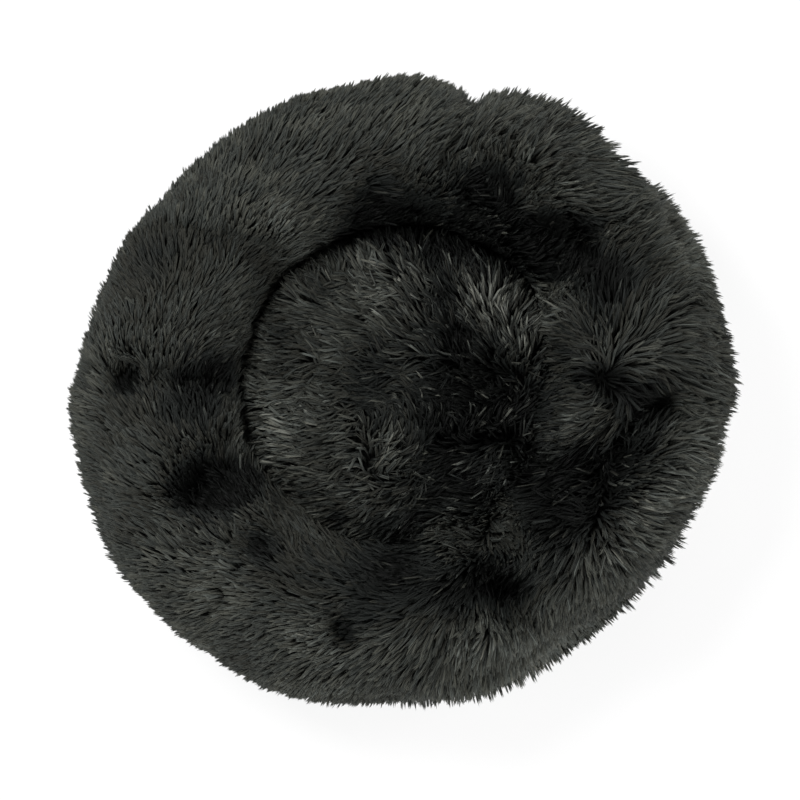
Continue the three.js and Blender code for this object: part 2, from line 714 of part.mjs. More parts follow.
// Pull: a flat tab whose eye is threaded on the bridge, wider towards its round end, with a slot to grip.
function pull() {
  const bar = pullThickness / 2;
  const neck = pullNeckWidth / 2;
  const wide = pullWidth / 2;
  const eye = neck - pullArm;
  const gripEnd = pullLength - wide;
  const shape = new THREE.Shape();
  shape.moveTo(-bar, -neck);
  shape.lineTo(pullEye + bar, -neck);
  shape.lineTo(gripEnd, -wide);
  shape.absarc(gripEnd, 0, wide, -Math.PI / 2, Math.PI / 2, false);
  shape.lineTo(pullEye + bar, neck);
  shape.lineTo(-bar, neck);
  const window = [point(bar, -eye), point(bar, eye), point(pullEye + bar, eye), point(pullEye + bar, -eye)];
  shape.holes.push(new THREE.Path(window));
  const gripHalf = pullHoleWidth / 2;
  const grip = new THREE.Path();
  grip.absarc(gripEnd, 0, gripHalf, -Math.PI / 2, Math.PI / 2, false);
  grip.absarc(gripEnd - pullHoleLength + pullHoleWidth, 0, gripHalf, Math.PI / 2, 1.5 * Math.PI, false);
  shape.holes.push(grip);
  return plate(shape, pivotHeight - bar, pivotHeight + bar, 6);
}
addPiece('zip_pull_tab', pull(), sliderMetal, sliderFrame);

// Stops. A clamp on each bead's end holds the closed slider, and one across both rows ends the zip.
function clamp(length, low, high, slotLow, slotHigh) {
  const face = toothFace + stopWall / 2;
  const slotFace = tapeFace + clearance;
  const corner = stopWall / 2;
  const shape = new THREE.Shape([
    point(0, low + corner), point(corner, low), point(length - corner, low), point(length, low + corner),
    point(length, high - corner), point(length - corner, high), point(corner, high), point(0, high - corner),
  ]);
  let body = solidOf(plate(shape, -face, face));
  for (const [from, to] of [[slotLow, high + cutOverrun], [low - cutOverrun, slotHigh]]) {
    if (from === null || to === null) continue;
    const slot = block(-cutOverrun, length + cutOverrun, from, to, -slotFace, slotFace);
    body = body.subtract(solidOf(slot));
  }
  return geometryOf(body);
}
const stopLow = beadInner + rowParting;
const stopHigh = beadOuter + rowParting + clearance + stopWall;
const stopSlot = beadOuter + rowParting;
const topFrame = bandFrame(topStopStart);
const stopUpper = clamp(stopLength, stopLow, stopHigh, stopSlot, null);
const stopLower = clamp(stopLength, -stopHigh, -stopLow, null, -stopSlot);
addPiece('zip_top_stop_upper', stopUpper, sliderMetal, topFrame);
addPiece('zip_top_stop_lower', stopLower, sliderMetal, topFrame);
const bottomHigh = beadOuter + clearance + stopWall;
const bottomFrame = bandFrame(teethStart - clearance - stopLength);
const bottomSlot = tapeEndGap / 2 - clearance;
const bottomStop = clamp(stopLength, -bottomHigh, bottomHigh, bottomSlot, -bottomSlot);
addPiece('zip_bottom_stop', bottomStop, sliderMetal, bottomFrame);

export default bed;
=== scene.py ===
# Donut pet bed: a stuffed long-pile rim round a domed plush seat, on a base cloth, with a zip in its foot.
# Metres, +Z up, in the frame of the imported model. The bed's far side is +Y, as at the top of the photograph.
import math

import bmesh
import bpy
import numpy as np
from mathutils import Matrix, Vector
from mathutils.bvhtree import BVHTree
from mathutils.kdtree import KDTree


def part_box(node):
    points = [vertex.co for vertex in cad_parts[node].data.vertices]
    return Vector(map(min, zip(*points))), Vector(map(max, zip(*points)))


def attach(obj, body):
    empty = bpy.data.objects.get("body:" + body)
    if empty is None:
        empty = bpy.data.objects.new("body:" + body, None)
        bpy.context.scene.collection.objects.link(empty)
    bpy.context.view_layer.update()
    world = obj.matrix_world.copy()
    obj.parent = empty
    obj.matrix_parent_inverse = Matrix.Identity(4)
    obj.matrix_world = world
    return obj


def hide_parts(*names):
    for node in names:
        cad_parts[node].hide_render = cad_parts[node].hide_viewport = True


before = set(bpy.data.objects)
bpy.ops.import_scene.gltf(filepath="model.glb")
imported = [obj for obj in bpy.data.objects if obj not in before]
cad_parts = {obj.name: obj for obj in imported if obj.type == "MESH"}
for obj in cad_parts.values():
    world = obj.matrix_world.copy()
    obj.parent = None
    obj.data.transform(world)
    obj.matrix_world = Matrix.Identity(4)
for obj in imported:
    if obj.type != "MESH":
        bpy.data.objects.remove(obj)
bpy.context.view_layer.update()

# Studio. The photograph looks down on the bed from almost straight above, on plain white, in soft light that
# comes from the upper left. The floor keeps a faint shadow of the bed.
metres_per_pixel = 0.000929
bed_middle_pixel = (402, 390)
picture_middle_pixel = (400, 400)
picture_pixels = 800
camera_distance = 2.6
camera_elevation = math.radians(86)
floor_size = 12.0
floor_white = 0.95
floor_glow_share = 0.85
sky_tint = (0.97, 0.985, 1, 1)
sky_strength = 0.16
aim_share = 0.6
sensor_width = 36


def place_of(pixel):
    x = (pixel[0] - bed_middle_pixel[0]) * metres_per_pixel
    y = (bed_middle_pixel[1] - pixel[1]) * metres_per_pixel
    return x, y


def link(tree, source, target):
    tree.links.new(source, target)


def seen_directly(tree):
    light_path = tree.nodes.new("ShaderNodeLightPath")
    either = tree.nodes.new("ShaderNodeMath")
    either.operation = "MAXIMUM"
    all_three = tree.nodes.new("ShaderNodeMath")
    all_three.operation = "MAXIMUM"
    link(tree, light_path.outputs["Is Camera Ray"], either.inputs[0])
    link(tree, light_path.outputs["Is Glossy Ray"], either.inputs[1])
    link(tree, either.outputs[0], all_three.inputs[0])
    link(tree, light_path.outputs["Is Transmission Ray"], all_three.inputs[1])
    return all_three.outputs[0]


def floor_material():
    material = bpy.data.materials.new("studio_floor")
    material.use_nodes = True
    tree = material.node_tree
    shader = tree.nodes["Principled BSDF"]
    shader.inputs["Base Color"].default_value = (floor_white, floor_white, floor_white, 1)
    shader.inputs["Roughness"].default_value = 1
    shader.inputs["Specular IOR Level"].default_value = 0
    glow = tree.nodes.new("ShaderNodeEmission")
    glow.inputs["Color"].default_value = (1, 1, 1, 1)
    share = tree.nodes.new("ShaderNodeMath")
    share.operation = "MULTIPLY"
    share.inputs[1].default_value = floor_glow_share
    link(tree, seen_directly(tree), share.inputs[0])
    mix = tree.nodes.new("ShaderNodeMixShader")
    link(tree, share.outputs[0], mix.inputs[0])
    link(tree, shader.outputs[0], mix.inputs[1])
    link(tree, glow.outputs[0], mix.inputs[2])
    link(tree, mix.outputs[0], tree.nodes["Material Output"].inputs["Surface"])
    return material


bpy.ops.mesh.primitive_plane_add(size=floor_size)
floor = bpy.context.object
floor.name = "studio_floor"
floor.data.materials.append(floor_material())

world = bpy.data.worlds.new("studio_white")
bpy.context.scene.world = world
world.use_nodes = True
sky = world.node_tree
surround = sky.nodes["Background"]
surround.inputs["Color"].default_value = sky_tint
surround.inputs["Strength"].default_value = sky_strength
backdrop = sky.nodes.new("ShaderNodeBackground")
backdrop.inputs["Color"].default_value = (1, 1, 1, 1)
backdrop.inputs["Strength"].default_value = 1
sky_mix = sky.nodes.new("ShaderNodeMixShader")
link(sky, seen_directly(sky), sky_mix.inputs[0])
link(sky, surround.outputs[0], sky_mix.inputs[1])
link(sky, backdrop.outputs[0], sky_mix.inputs[2])
link(sky, sky_mix.outputs[0], sky.nodes["World Output"].inputs["Surface"])


def soft_lamp(name, spot, size, watts):
    light = bpy.data.lights.new(name, "AREA")
    light.size = size
    light.energy = watts
    lamp = bpy.data.objects.new(name, light)
    bpy.context.scene.collection.objects.link(lamp)
    lamp.location = spot
    lamp.rotation_euler = (-Vector(spot)).to_track_quat("-Z", "Y").to_euler()


soft_lamp("key_lamp", (-1.0, 0.7, 2.0), size=0.7, watts=46)
soft_lamp("far_lamp", (0.7, 2.1, 0.8), size=1.2, watts=26)
soft_lamp("left_lamp", (-2.1, -0.7, 0.8), size=1.2, watts=24)
soft_lamp("side_lamp", (2.0, 0.2, 1.0), size=1.0, watts=24)
soft_lamp("near_lamp", (0.2, -2.0, 1.0), size=1.0, watts=24)

crest_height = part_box("rim_cover_left")[1].z
aim = Vector((*place_of(picture_middle_pixel), crest_height * aim_share))
back = Vector((0, -math.cos(camera_elevation), math.sin(camera_elevation)))
camera_data = bpy.data.cameras.new("camera")
camera_data.sensor_width = sensor_width
camera_data.lens = sensor_width * camera_distance / (picture_pixels * metres_per_pixel)
camera = bpy.data.objects.new("camera", camera_data)
bpy.context.scene.collection.objects.link(camera)
camera.location = aim + back * camera_distance
camera.rotation_euler = (-back).to_track_quat("-Z", "Y").to_euler()
bpy.context.scene.camera = camera
bpy.context.scene.view_settings.view_transform = "Standard"

# Base cloth. A disc of coated plain-woven cloth, turned up at its edge and stitched to the rim cover, or
# along the zip to the lower tape. Rows of small rubber grip dots are printed on its underside.
base_colour = (0.014, 0.015, 0.016)
rubber_colour = (0.02, 0.021, 0.022)
base_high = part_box("base_panel")[1]
base_radius = base_high.x
base_edge_ease = 0.0004
base_edge_height = base_high.z - base_edge_ease
base_floor_rings = 14
base_corner_rings = 7
base_edge_rings = 7
base_steps = 360
base_lift = 0.0007
base_thickness = 0.0011
base_corner = 0.009
base_edge_lean = 0.0056
base_pucker = 0.00045
base_gathers = 96
base_lesser_gathers = 61
dot_pitch = 0.0125
dot_radius = 0.0017
dot_crown_radius = 0.6 * dot_radius
dot_crown_height = 0.0001
dot_sink = 0.0002
dot_corners = 8


def principled(name, colour, roughness, specular=0.5, metallic=0.0):
    material = bpy.data.materials.new(name)
    material.use_nodes = True
    shader = material.node_tree.nodes["Principled BSDF"]
    shader.inputs["Base Color"].default_value = (*colour, 1)
    shader.inputs["Roughness"].default_value = roughness
    shader.inputs["Specular IOR Level"].default_value = specular
    shader.inputs["Metallic"].default_value = metallic
    return material, material.node_tree, shader


def new_group(name, takes, gives):
    group = bpy.data.node_groups.new(name, "ShaderNodeTree")
    for label, kind in takes:
        group.interface.new_socket(label, in_out="INPUT", socket_type=kind)
    for label, kind in gives:
        group.interface.new_socket(label, in_out="OUTPUT", socket_type=kind)
    return group, group.nodes.new("NodeGroupInput"), group.nodes.new("NodeGroupOutput")


def maths(tree, operation, *values):
    node = tree.nodes.new("ShaderNodeMath")
    node.operation = operation
    for slot_number, value in enumerate(values):
        if isinstance(value, (int, float)):
            node.inputs[slot_number].default_value = value
        else:
            link(tree, value, node.inputs[slot_number])
    return node.outputs[0]


def weave_group():
    """Height of a plain weave, from two coordinates along its threads, and a mask of its sunk corners, where
    shade is painted.
    """
    group, start, end = new_group(
        "plain_weave",
        [("Along", "NodeSocketFloat"), ("Across", "NodeSocketFloat"), ("Thread Width", "NodeSocketFloat")],
        [("Height", "NodeSocketFloat"), ("Painted Gap Shade", "NodeSocketFloat")],
    )
    turn = maths(group, "DIVIDE", math.pi, start.outputs["Thread Width"])
    warp = maths(group, "SINE", maths(group, "MULTIPLY", start.outputs["Along"], turn))
    weft = maths(group, "SINE", maths(group, "MULTIPLY", start.outputs["Across"], turn))
    over = maths(group, "MULTIPLY", warp, weft)
    crown = maths(group, "ADD", maths(group, "ABSOLUTE", warp), maths(group, "ABSOLUTE", weft))
    height = maths(group, "MULTIPLY_ADD", over, 0.5, maths(group, "MULTIPLY", crown, 0.5))
    link(group, height, end.inputs["Height"])
    painted_gap_shade = maths(group, "SUBTRACT", 1, maths(group, "MULTIPLY", crown, 0.9))
    link(group, maths(group, "MAXIMUM", painted_gap_shade, 0), end.inputs["Painted Gap Shade"])
    return group


def mottle_group():
    """Uneven colour, from a broad noise and a fine one, as a factor round 1."""
    group, start, end = new_group(
        "mottle",
        [("Broad", "NodeSocketFloat"), ("Fine", "NodeSocketFloat"), ("Amount", "NodeSocketFloat")],
        [("Factor", "NodeSocketFloat")],
    )
    place = group.nodes.new("ShaderNodeTexCoord").outputs["Object"]
    total = 0
    for label in ("Broad", "Fine"):
        noise = group.nodes.new("ShaderNodeTexNoise")
        link(group, place, noise.inputs["Vector"])
        link(group, start.outputs[label], noise.inputs["Scale"])
        total = maths(group, "ADD", total, maths(group, "SUBTRACT", noise.outputs["Fac"], 0.5))
    spread = maths(group, "MULTIPLY", total, start.outputs["Amount"])
    link(group, maths(group, "ADD", spread, 1), end.inputs["Factor"])
    return group


plain_weave = weave_group()
mottle = mottle_group()


def placed(tree, group, **values):
    node = tree.nodes.new("ShaderNodeGroup")
    node.node_tree = group
    for label, value in values.items():
        socket = node.inputs[label.replace("_", " ")]
        if isinstance(value, (int, float)):
            socket.default_value = value
        else:
            link(tree, value, socket)
    return node


def tinted(tree, shader, colour, *factors):
    """Base colour as a plain colour times one or more grey factors."""
    factor = factors[0]
    for other in factors[1:]:
        factor = maths(tree, "MULTIPLY", factor, other)
    scale = tree.nodes.new("ShaderNodeVectorMath")
    scale.operation = "SCALE"
    scale.inputs[0].default_value = colour
    link(tree, factor, scale.inputs["Scale"])
    link(tree, scale.outputs[0], shader.inputs["Base Color"])


def bumped(tree, shader, height, distance):
    bump = tree.nodes.new("ShaderNodeBump")
    bump.inputs["Distance"].default_value = distance
    bump.inputs["Strength"].default_value = 1
    link(tree, height, bump.inputs["Height"])
    link(tree, bump.outputs["Normal"], shader.inputs["Normal"])


def split_place(tree):
    place = tree.nodes.new("ShaderNodeTexCoord").outputs["Object"]
    parts = tree.nodes.new("ShaderNodeSeparateXYZ")
    link(tree, place, parts.inputs[0])
    return parts.outputs["X"], parts.outputs["Y"], parts.outputs["Z"]


def base_cloth_material():
    material, tree, shader = principled("base_cloth", base_colour, roughness=0.62, specular=0.35)
    x, y, _ = split_place(tree)
    weave = placed(tree, plain_weave, Along=x, Across=y, Thread_Width=0.0009)
    uneven = placed(tree, mottle, Broad=14.0, Fine=160.0, Amount=0.9)
    # Painted shade in the weave's sunk corners.
    painted_gap_shade = maths(tree, "SUBTRACT", 1, maths(tree, "MULTIPLY", weave.outputs["Painted Gap Shade"], 0.6))
    tinted(tree, shader, base_colour, uneven.outputs["Factor"], painted_gap_shade)
    bumped(tree, shader, weave.outputs["Height"], distance=0.0003)
    return material


def mesh_piece(name, points, faces, material):
    mesh = bpy.data.meshes.new(name)
    mesh.from_pydata([tuple(p) for p in points], [], [tuple(f) for f in faces])
    shape = bmesh.new()
    shape.from_mesh(mesh)
    bmesh.ops.recalc_face_normals(shape, faces=shape.faces)
    shape.to_mesh(mesh)
    shape.free()
    mesh.polygons.foreach_set("use_smooth", [True] * len(mesh.polygons))
    mesh.materials.append(material)
    piece = bpy.data.objects.new(name, mesh)
    bpy.context.scene.collection.objects.link(piece)
    return piece


def loft(name, loops, ends, material):
    """Closed loops of points joined into one skin. Its ends meet, or are closed by a fan, or by a strip
    where the second half of each loop backs the first."""
    count, around = loops.shape[:2]
    spans = count if ends == "meet" else count - 1
    i = np.arange(spans)[:, None]
    j = np.arange(around)[None, :]
    ahead = (i + 1) % count
    beside = (j + 1) % around
    corners = [i * around + j, i * around + beside, ahead * around + beside, ahead * around + j]
    faces = np.stack(np.broadcast_arrays(*corners), -1).reshape(-1, 4).tolist()
    points = loops.reshape(-1, 3).tolist()
    for first in (0, (count - 1) * around) if ends != "meet" else ():
        if ends == "fan":
            points.append(np.mean(points[first:first + around], axis=0).tolist())
            middle = len(points) - 1
            faces += [(first + n, first + (n + 1) % around, middle) for n in range(around)]
        else:
            for n in range(around // 2 - 1):
                far = around - 1 - n
                faces.append((first + n, first + n + 1, first + far - 1, first + far))
    return mesh_piece(name, points, faces, material)


def turned(profile, steps):
    """A half section of (radius, height) points turned about the bed's axis, as a loop for each point."""
    angle = np.arange(steps) * 2 * math.pi / steps
    profile = np.asarray(profile, float)
    radius, height = profile[:, 0, None], profile[:, 1, None]
    return np.stack(np.broadcast_arrays(radius * np.cos(angle), radius * np.sin(angle), height), -1)


def base_profile(inset):
    """The cloth's face from the middle of the floor to its turned-up edge, moved in by its thickness."""
    flat_radius = base_radius - base_corner
    corner = base_corner - inset
    points = [(share * flat_radius, base_lift + inset) for share in np.linspace(0.004, 1, base_floor_rings)]
    for away in np.radians(np.linspace(-80, 0, base_corner_rings)):
        points.append((
            flat_radius + corner * math.cos(away),
            base_lift + base_corner + corner * math.sin(away),
        ))
    rise = base_edge_height - base_corner - base_lift
    for share in np.linspace(0.15, 1, base_edge_rings):
        points.append((base_radius - inset - base_edge_lean * share, base_lift + base_corner + rise * share))
    return points


def round_the_bed(count):
    return np.arange(count) * 2 * math.pi / count


base_loops = turned(base_profile(0) + base_profile(base_thickness)[::-1], base_steps)
up_the_edge = np.clip((base_loops[..., 2] - base_corner) / (base_edge_height - base_corner), 0, 1)
base_turns = round_the_bed(base_steps)
gathers = np.sin(base_turns * base_gathers) + 0.6 * np.sin(base_turns * base_lesser_gathers + 1)
base_loops[..., :2] *= 1 - (base_pucker / base_radius * up_the_edge * (1.6 + gathers))[..., None]
base_cloth = loft("base_cloth", base_loops, "fan", base_cloth_material())
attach(base_cloth, "bed")
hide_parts("base_panel")


def grip_dots():
    """Low domes of rubber under the base cloth, each with three rings of corners and two flat ends."""
    rows = int(base_radius / dot_pitch) + 1
    rings = (
        (dot_radius, base_lift + dot_sink),
        (dot_radius, base_lift - dot_sink),
        (dot_crown_radius, dot_crown_height),
    )
    points = []
    faces = []
    reach = base_radius - base_corner - 2 * dot_radius
    turns = round_the_bed(dot_corners)
    for row in range(-rows, rows + 1):
        for column in range(-rows, rows + 1):
            x = (column + 0.5 * (row % 2)) * dot_pitch
            y = row * dot_pitch * math.sqrt(0.75)
            if math.hypot(x, y) > reach:
                continue
            first = len(points)
            for radius, height in rings:
                for turn in turns:
                    points.append((x + radius * math.cos(turn), y + radius * math.sin(turn), height))
            crown = first + 2 * dot_corners
            for ring in (first, first + dot_corners):
                for n in range(dot_corners):
                    m = (n + 1) % dot_corners
                    faces.append((ring + n, ring + m, ring + dot_corners + m, ring + dot_corners + n))
            faces.append([crown + n for n in range(dot_corners)])
            faces.append([first + n for n in range(dot_corners)][::-1])
    material, tree, shader = principled("grip_rubber", rubber_colour, roughness=0.5)
    uneven = placed(tree, mottle, Broad=30.0, Fine=400.0, Amount=0.8)
    tinted(tree, shader, rubber_colour, uneven.outputs["Factor"])
    return mesh_piece("base_grip_dots", points, faces, material)


dots = grip_dots()
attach(dots, "bed")

# Zip. Two woven tapes carry rows of moulded teeth, stitched under the hem of the rim cover and over the edge
# of the base cloth. Metal stops end the rows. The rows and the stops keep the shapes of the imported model.
tape_colour = (0.012, 0.013, 0.014)
tooth_colour = (0.02, 0.021, 0.023)
metal_colour = (0.11, 0.115, 0.125)
foot_radius = 0.268
zip_height = 0.036
foot_lean = math.radians(25)
tape_end_zone = math.radians(0.3)
tape_tuck = math.radians(4)
tape_cuts = 3
tape_rib_pitch = 0.0011
tape_rib_height = 0.00004


def tape_material():
    material, tree, shader = principled("tape_weave", tape_colour, roughness=0.8, specular=0.3)
    x, y, z = split_place(tree)
    around = maths(tree, "MULTIPLY", maths(tree, "ARCTAN2", y, x), foot_radius)
    slant = maths(tree, "ADD", around, z)
    weave = placed(tree, plain_weave, Along=slant, Across=z, Thread_Width=0.0007)
    uneven = placed(tree, mottle, Broad=60.0, Fine=900.0, Amount=0.9)
    # Painted shade in the weave's sunk corners.
    painted_gap_shade = maths(tree, "SUBTRACT", 1, maths(tree, "MULTIPLY", weave.outputs["Painted Gap Shade"], 0.5))
    tinted(tree, shader, tape_colour, uneven.outputs["Factor"], painted_gap_shade)
    bumped(tree, shader, weave.outputs["Height"], distance=0.0002)
    return material


def woven_copy(name, node, tuck):
    """A copy of a packed tape, cut finer and ribbed, whose ends run on under the hem by an angle."""
    shape = bmesh.new()
    shape.from_mesh(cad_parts[node].data)
    bmesh.ops.remove_doubles(shape, verts=shape.verts, dist=1e-6)
    bmesh.ops.subdivide_edges(shape, edges=shape.edges, cuts=tape_cuts, use_grid_fill=True)
    shape.normal_update()
    turns = [math.atan2(corner.co.y, corner.co.x) for corner in shape.verts]
    first, last = min(turns) + tape_end_zone, max(turns) - tape_end_zone
    for corner, turn in zip(shape.verts, turns):
        turn += tuck if turn > last else -tuck if turn < first else 0
        radius = math.hypot(corner.co.x, corner.co.y)
        corner.co.x, corner.co.y = radius * math.cos(turn), radius * math.sin(turn)
        rib = math.sin((turn * foot_radius + corner.co.z) * math.pi / tape_rib_pitch)
        corner.co += corner.normal * (tape_rib_height * (rib - 1))
    mesh = bpy.data.meshes.new(name)
    shape.to_mesh(mesh)
    shape.free()
    mesh.polygons.foreach_set("use_smooth", [True] * len(mesh.polygons))
    mesh.materials.append(tape_cloth)
    piece = bpy.data.objects.new(name, mesh)
    bpy.context.scene.collection.objects.link(piece)
    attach(piece, "bed")
    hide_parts(node)


tape_cloth = tape_material()
woven_copy("zip_tape_cloth_upper", "zip_tape_upper", tuck=0)
woven_copy("zip_tape_cloth_lower", "zip_tape_lower", tuck=tape_tuck)


def tooth_material():
    material, tree, shader = principled("tooth_plastic", tooth_colour, roughness=0.4)
    uneven = placed(tree, mottle, Broad=90.0, Fine=1800.0, Amount=0.7)
    tinted(tree, shader, tooth_colour, uneven.outputs["Factor"])
    grain = tree.nodes.new("ShaderNodeTexNoise")
    grain.inputs["Scale"].default_value = 2600
    bumped(tree, shader, grain.outputs["Fac"], distance=0.00004)
    return material


def slider_material():
    material, tree, shader = principled("slider_metal", metal_colour, roughness=0.34, metallic=1.0)
    uneven = placed(tree, mottle, Broad=150.0, Fine=1400.0, Amount=0.8)
    tinted(tree, shader, metal_colour, uneven.outputs["Factor"])
    place = tree.nodes.new("ShaderNodeTexCoord").outputs["Object"]
    stretch = tree.nodes.new("ShaderNodeMapping")
    stretch.inputs["Scale"].default_value = (6000, 500, 500)
    link(tree, place, stretch.inputs["Vector"])
    scratches = tree.nodes.new("ShaderNodeTexNoise")
    scratches.inputs["Scale"].default_value = 1
    link(tree, stretch.outputs[0], scratches.inputs["Vector"])
    rough = maths(tree, "MULTIPLY_ADD", scratches.outputs["Fac"], 0.3, 0.22)
    link(tree, rough, shader.inputs["Roughness"])
    bumped(tree, shader, scratches.outputs["Fac"], distance=0.00002)
    return material


tooth_nodes = ("zip_teeth_upper", "zip_teeth_lower")
metal_nodes = ("zip_top_stop_upper", "zip_top_stop_lower", "zip_bottom_stop", "zip_slider", "zip_pull_tab")
for material, nodes in ((tooth_material(), tooth_nodes), (slider_material(), metal_nodes)):
    for node in nodes:
        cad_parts[node].data.materials.clear()
        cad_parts[node].data.materials.append(material)

# Rim shape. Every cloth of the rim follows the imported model's section, read off by rays that run in from all
# sides to a ring in the middle of the stuffing. Hollows and swells that the photograph shows are added.
core_radius = 0.215
core_height = 0.08
ray_reach = 0.3
rim_turns = 288
rim_rows = 64
section_leans = np.radians(np.arange(-70, 215, 2.5))
seam_passes = 3
turn_passes = 8
row_passes = 2
# Where the stuffing swells or sinks: pixel, reach and rise, in metres.
rim_swell_pixels = [
    ((130, 383), 0.009, -0.022), ((165, 386), 0.006, -0.008), ((208, 488), 0.014, -0.018),
    ((238, 476), 0.008, -0.010), ((262, 548), 0.009, -0.013), ((480, 200), 0.018, -0.020),
    ((525, 240), 0.022, -0.022), ((580, 250), 0.016, -0.020), ((400, 226), 0.016, -0.016),
    ((358, 228), 0.012, -0.012), ((650, 408), 0.013, -0.024), ((600, 458), 0.018, -0.016),
    ((568, 497), 0.016, -0.014),
    ((505, 585), 0.018, -0.016), ((352, 628), 0.008, -0.013), ((665, 242), 0.010, -0.012),
    ((225, 375), 0.014, -0.008), ((250, 180), 0.050, 0.004), ((180, 345), 0.022, 0.006),
    ((598, 345), 0.024, 0.008), ((592, 545), 0.020, 0.006), ((545, 180), 0.016, 0.012),
    ((445, 535), 0.022, 0.012), ((432, 140), 0.020, 0.008), ((560, 295), 0.018, 0.012),
    ((700, 330), 0.032, 0.006), ((690, 480), 0.030, 0.006), ((555, 425), 0.014, 0.010),
]
# Folds between two pixels, with their reach and depth.
rim_fold_pixels = [
    ((105, 384), (235, 392), 0.005, 0.010), ((205, 500), (240, 445), 0.008, 0.014),
    ((254, 562), (225, 615), 0.004, 0.009), ((195, 240), (285, 270), 0.005, 0.010),
    ((468, 92), (436, 185), 0.006, 0.013), ((545, 470), (660, 402), 0.008, 0.014),
    ((470, 525), (515, 600), 0.008, 0.012), ((530, 250), (610, 232), 0.008, 0.012),
    ((640, 190), (672, 246), 0.005, 0.007), ((345, 600), (356, 642), 0.004, 0.007),
]
topside_low, topside_high = 0.075, 0.13
# The rim's inner shoulder is drawn in, least on the side where its lip stands the furthest over the seat.
shoulder_lean = math.radians(140)
shoulder_width = math.radians(20)
shoulder_rise = -0.002
shoulder_fall = -0.008
shoulder_side = math.radians(150)
lump_waves = 9
lump_height = 0.0012
crest_soft, crest_top = 0.184, 0.197
# How far the bed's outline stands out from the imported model's: degrees round the bed and metres.
outline_steps = [
    (0, 0.008), (10, -0.004), (20, 0), (40, 0.007), (50, -0.007), (60, 0.002), (70, 0.009), (74.5, 0.009),
    (76.7, 0.005), (79, 0.011), (90, 0.011), (100, 0.007), (110, 0.0075), (120, 0.002), (130, 0),
    (150, 0.0025), (160, 0), (170, 0.007), (180, 0.020), (190, 0.0065), (200, 0.0075), (210, 0.0115),
    (220, 0.009), (230, 0.0135), (240, 0.0115), (250, 0.0125), (260, 0.010), (270, -0.001), (285, -0.003),
    (300, -0.008), (310, -0.011), (320, -0.009), (330, -0.006), (340, -0.010), (350, 0.003),
]


def search_tree(*names):
    points = []
    faces = []
    for name in names:
        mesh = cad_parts[name].data
        start = len(points)
        points += [tuple(corner.co) for corner in mesh.vertices]
        faces += [tuple(start + n for n in face.vertices) for face in mesh.polygons]
    return BVHTree.FromPolygons(points, faces)


def reach_to(tree, turn, lean):
    """How far the surface lies from the core ring, at an angle round the bed and one round the ring."""
    radial = Vector((math.cos(turn), math.sin(turn), 0))
    away = radial * math.cos(lean) + Vector((0, 0, math.sin(lean)))
    core = radial * core_radius + Vector((0, 0, core_height))
    hit = tree.ray_cast(core + away * ray_reach, -away, ray_reach)
    return None if hit[0] is None else ray_reach - hit[3]


def smoothed(values, passes, closed=True):
    for _ in range(passes):
        before = np.roll(values, 1, axis=0)
        after = np.roll(values, -1, axis=0)
        if not closed:
            before[0] = values[0]
            after[-1] = values[-1]
        values = (before + 2 * values + after) / 4
    return values


def swell_at(points, table):
    total = np.zeros(points.shape[:-1])
    for pixel, reach, rise in table:
        x, y = place_of(pixel)
        gap = (points[..., 0] - x) ** 2 + (points[..., 1] - y) ** 2
        total += rise * np.exp(-gap / (2 * reach * reach))
    return total


def folds_at(points, table):
    """How deep the cloth is drawn in at each point by folds that run between two pixels."""
    total = np.zeros(points.shape[:-1])
    for first, last, reach, depth in table:
        start, end = np.array(place_of(first)), np.array(place_of(last))
        line = end - start
        share = np.clip(((points[..., :2] - start) @ line) / (line @ line), 0, 1)
        gap = np.linalg.norm(points[..., :2] - start - share[..., None] * line, axis=-1)
        total += depth * np.exp(-gap / reach)
    return total


def on_section(reach, turns, leans):
    """Points at a reach from the core ring, for arrays of turns and leans that match it."""
    radius = core_radius + reach * np.cos(leans)
    height = core_height + reach * np.sin(leans)
    return np.stack([radius * np.cos(turns), radius * np.sin(turns), height], -1)


def smooth_step(value, low, high):
    share = np.clip((value - low) / (high - low), 0, 1)
    return share * share * (3 - 2 * share)


def eased_under(height, start, top):
    """Heights above the start are pressed down, so that none passes the top."""
    over = np.maximum(height - start, 0)
    return np.minimum(height, start) + (top - start) * np.tanh(over / (top - start))


def read_rim():
    """Reach and lean of the rim cover's lie, from its outer hem over the crest to the seam of the seat."""
    tree = search_tree("rim_cover_left", "rim_cover_right")
    reach = np.zeros((rim_turns, rim_rows))
    first = np.zeros(rim_turns)
    last = np.zeros(rim_turns)
    rows = np.linspace(0, 1, rim_rows)
    turns = round_the_bed(rim_turns)
    for n, turn in enumerate(turns):
        hits = [(lean, reach_to(tree, turn, lean)) for lean in section_leans]
        hits = [(lean, found) for lean, found in hits if found is not None]
        first[n] = hits[0][0]
        last[n] = hits[-1][0]
        place = first[n] + rows * (last[n] - first[n])
        reach[n] = np.interp(place, [h[0] for h in hits], [h[1] for h in hits])
    first = smoothed(first, seam_passes)
    last = smoothed(last, seam_passes)
    reach = smoothed(smoothed(reach, turn_passes).T, row_passes, closed=False).T
    lean = first[:, None] + rows[None, :] * (last - first)[:, None]
    return turns[:, None] + np.zeros_like(lean), lean, reach


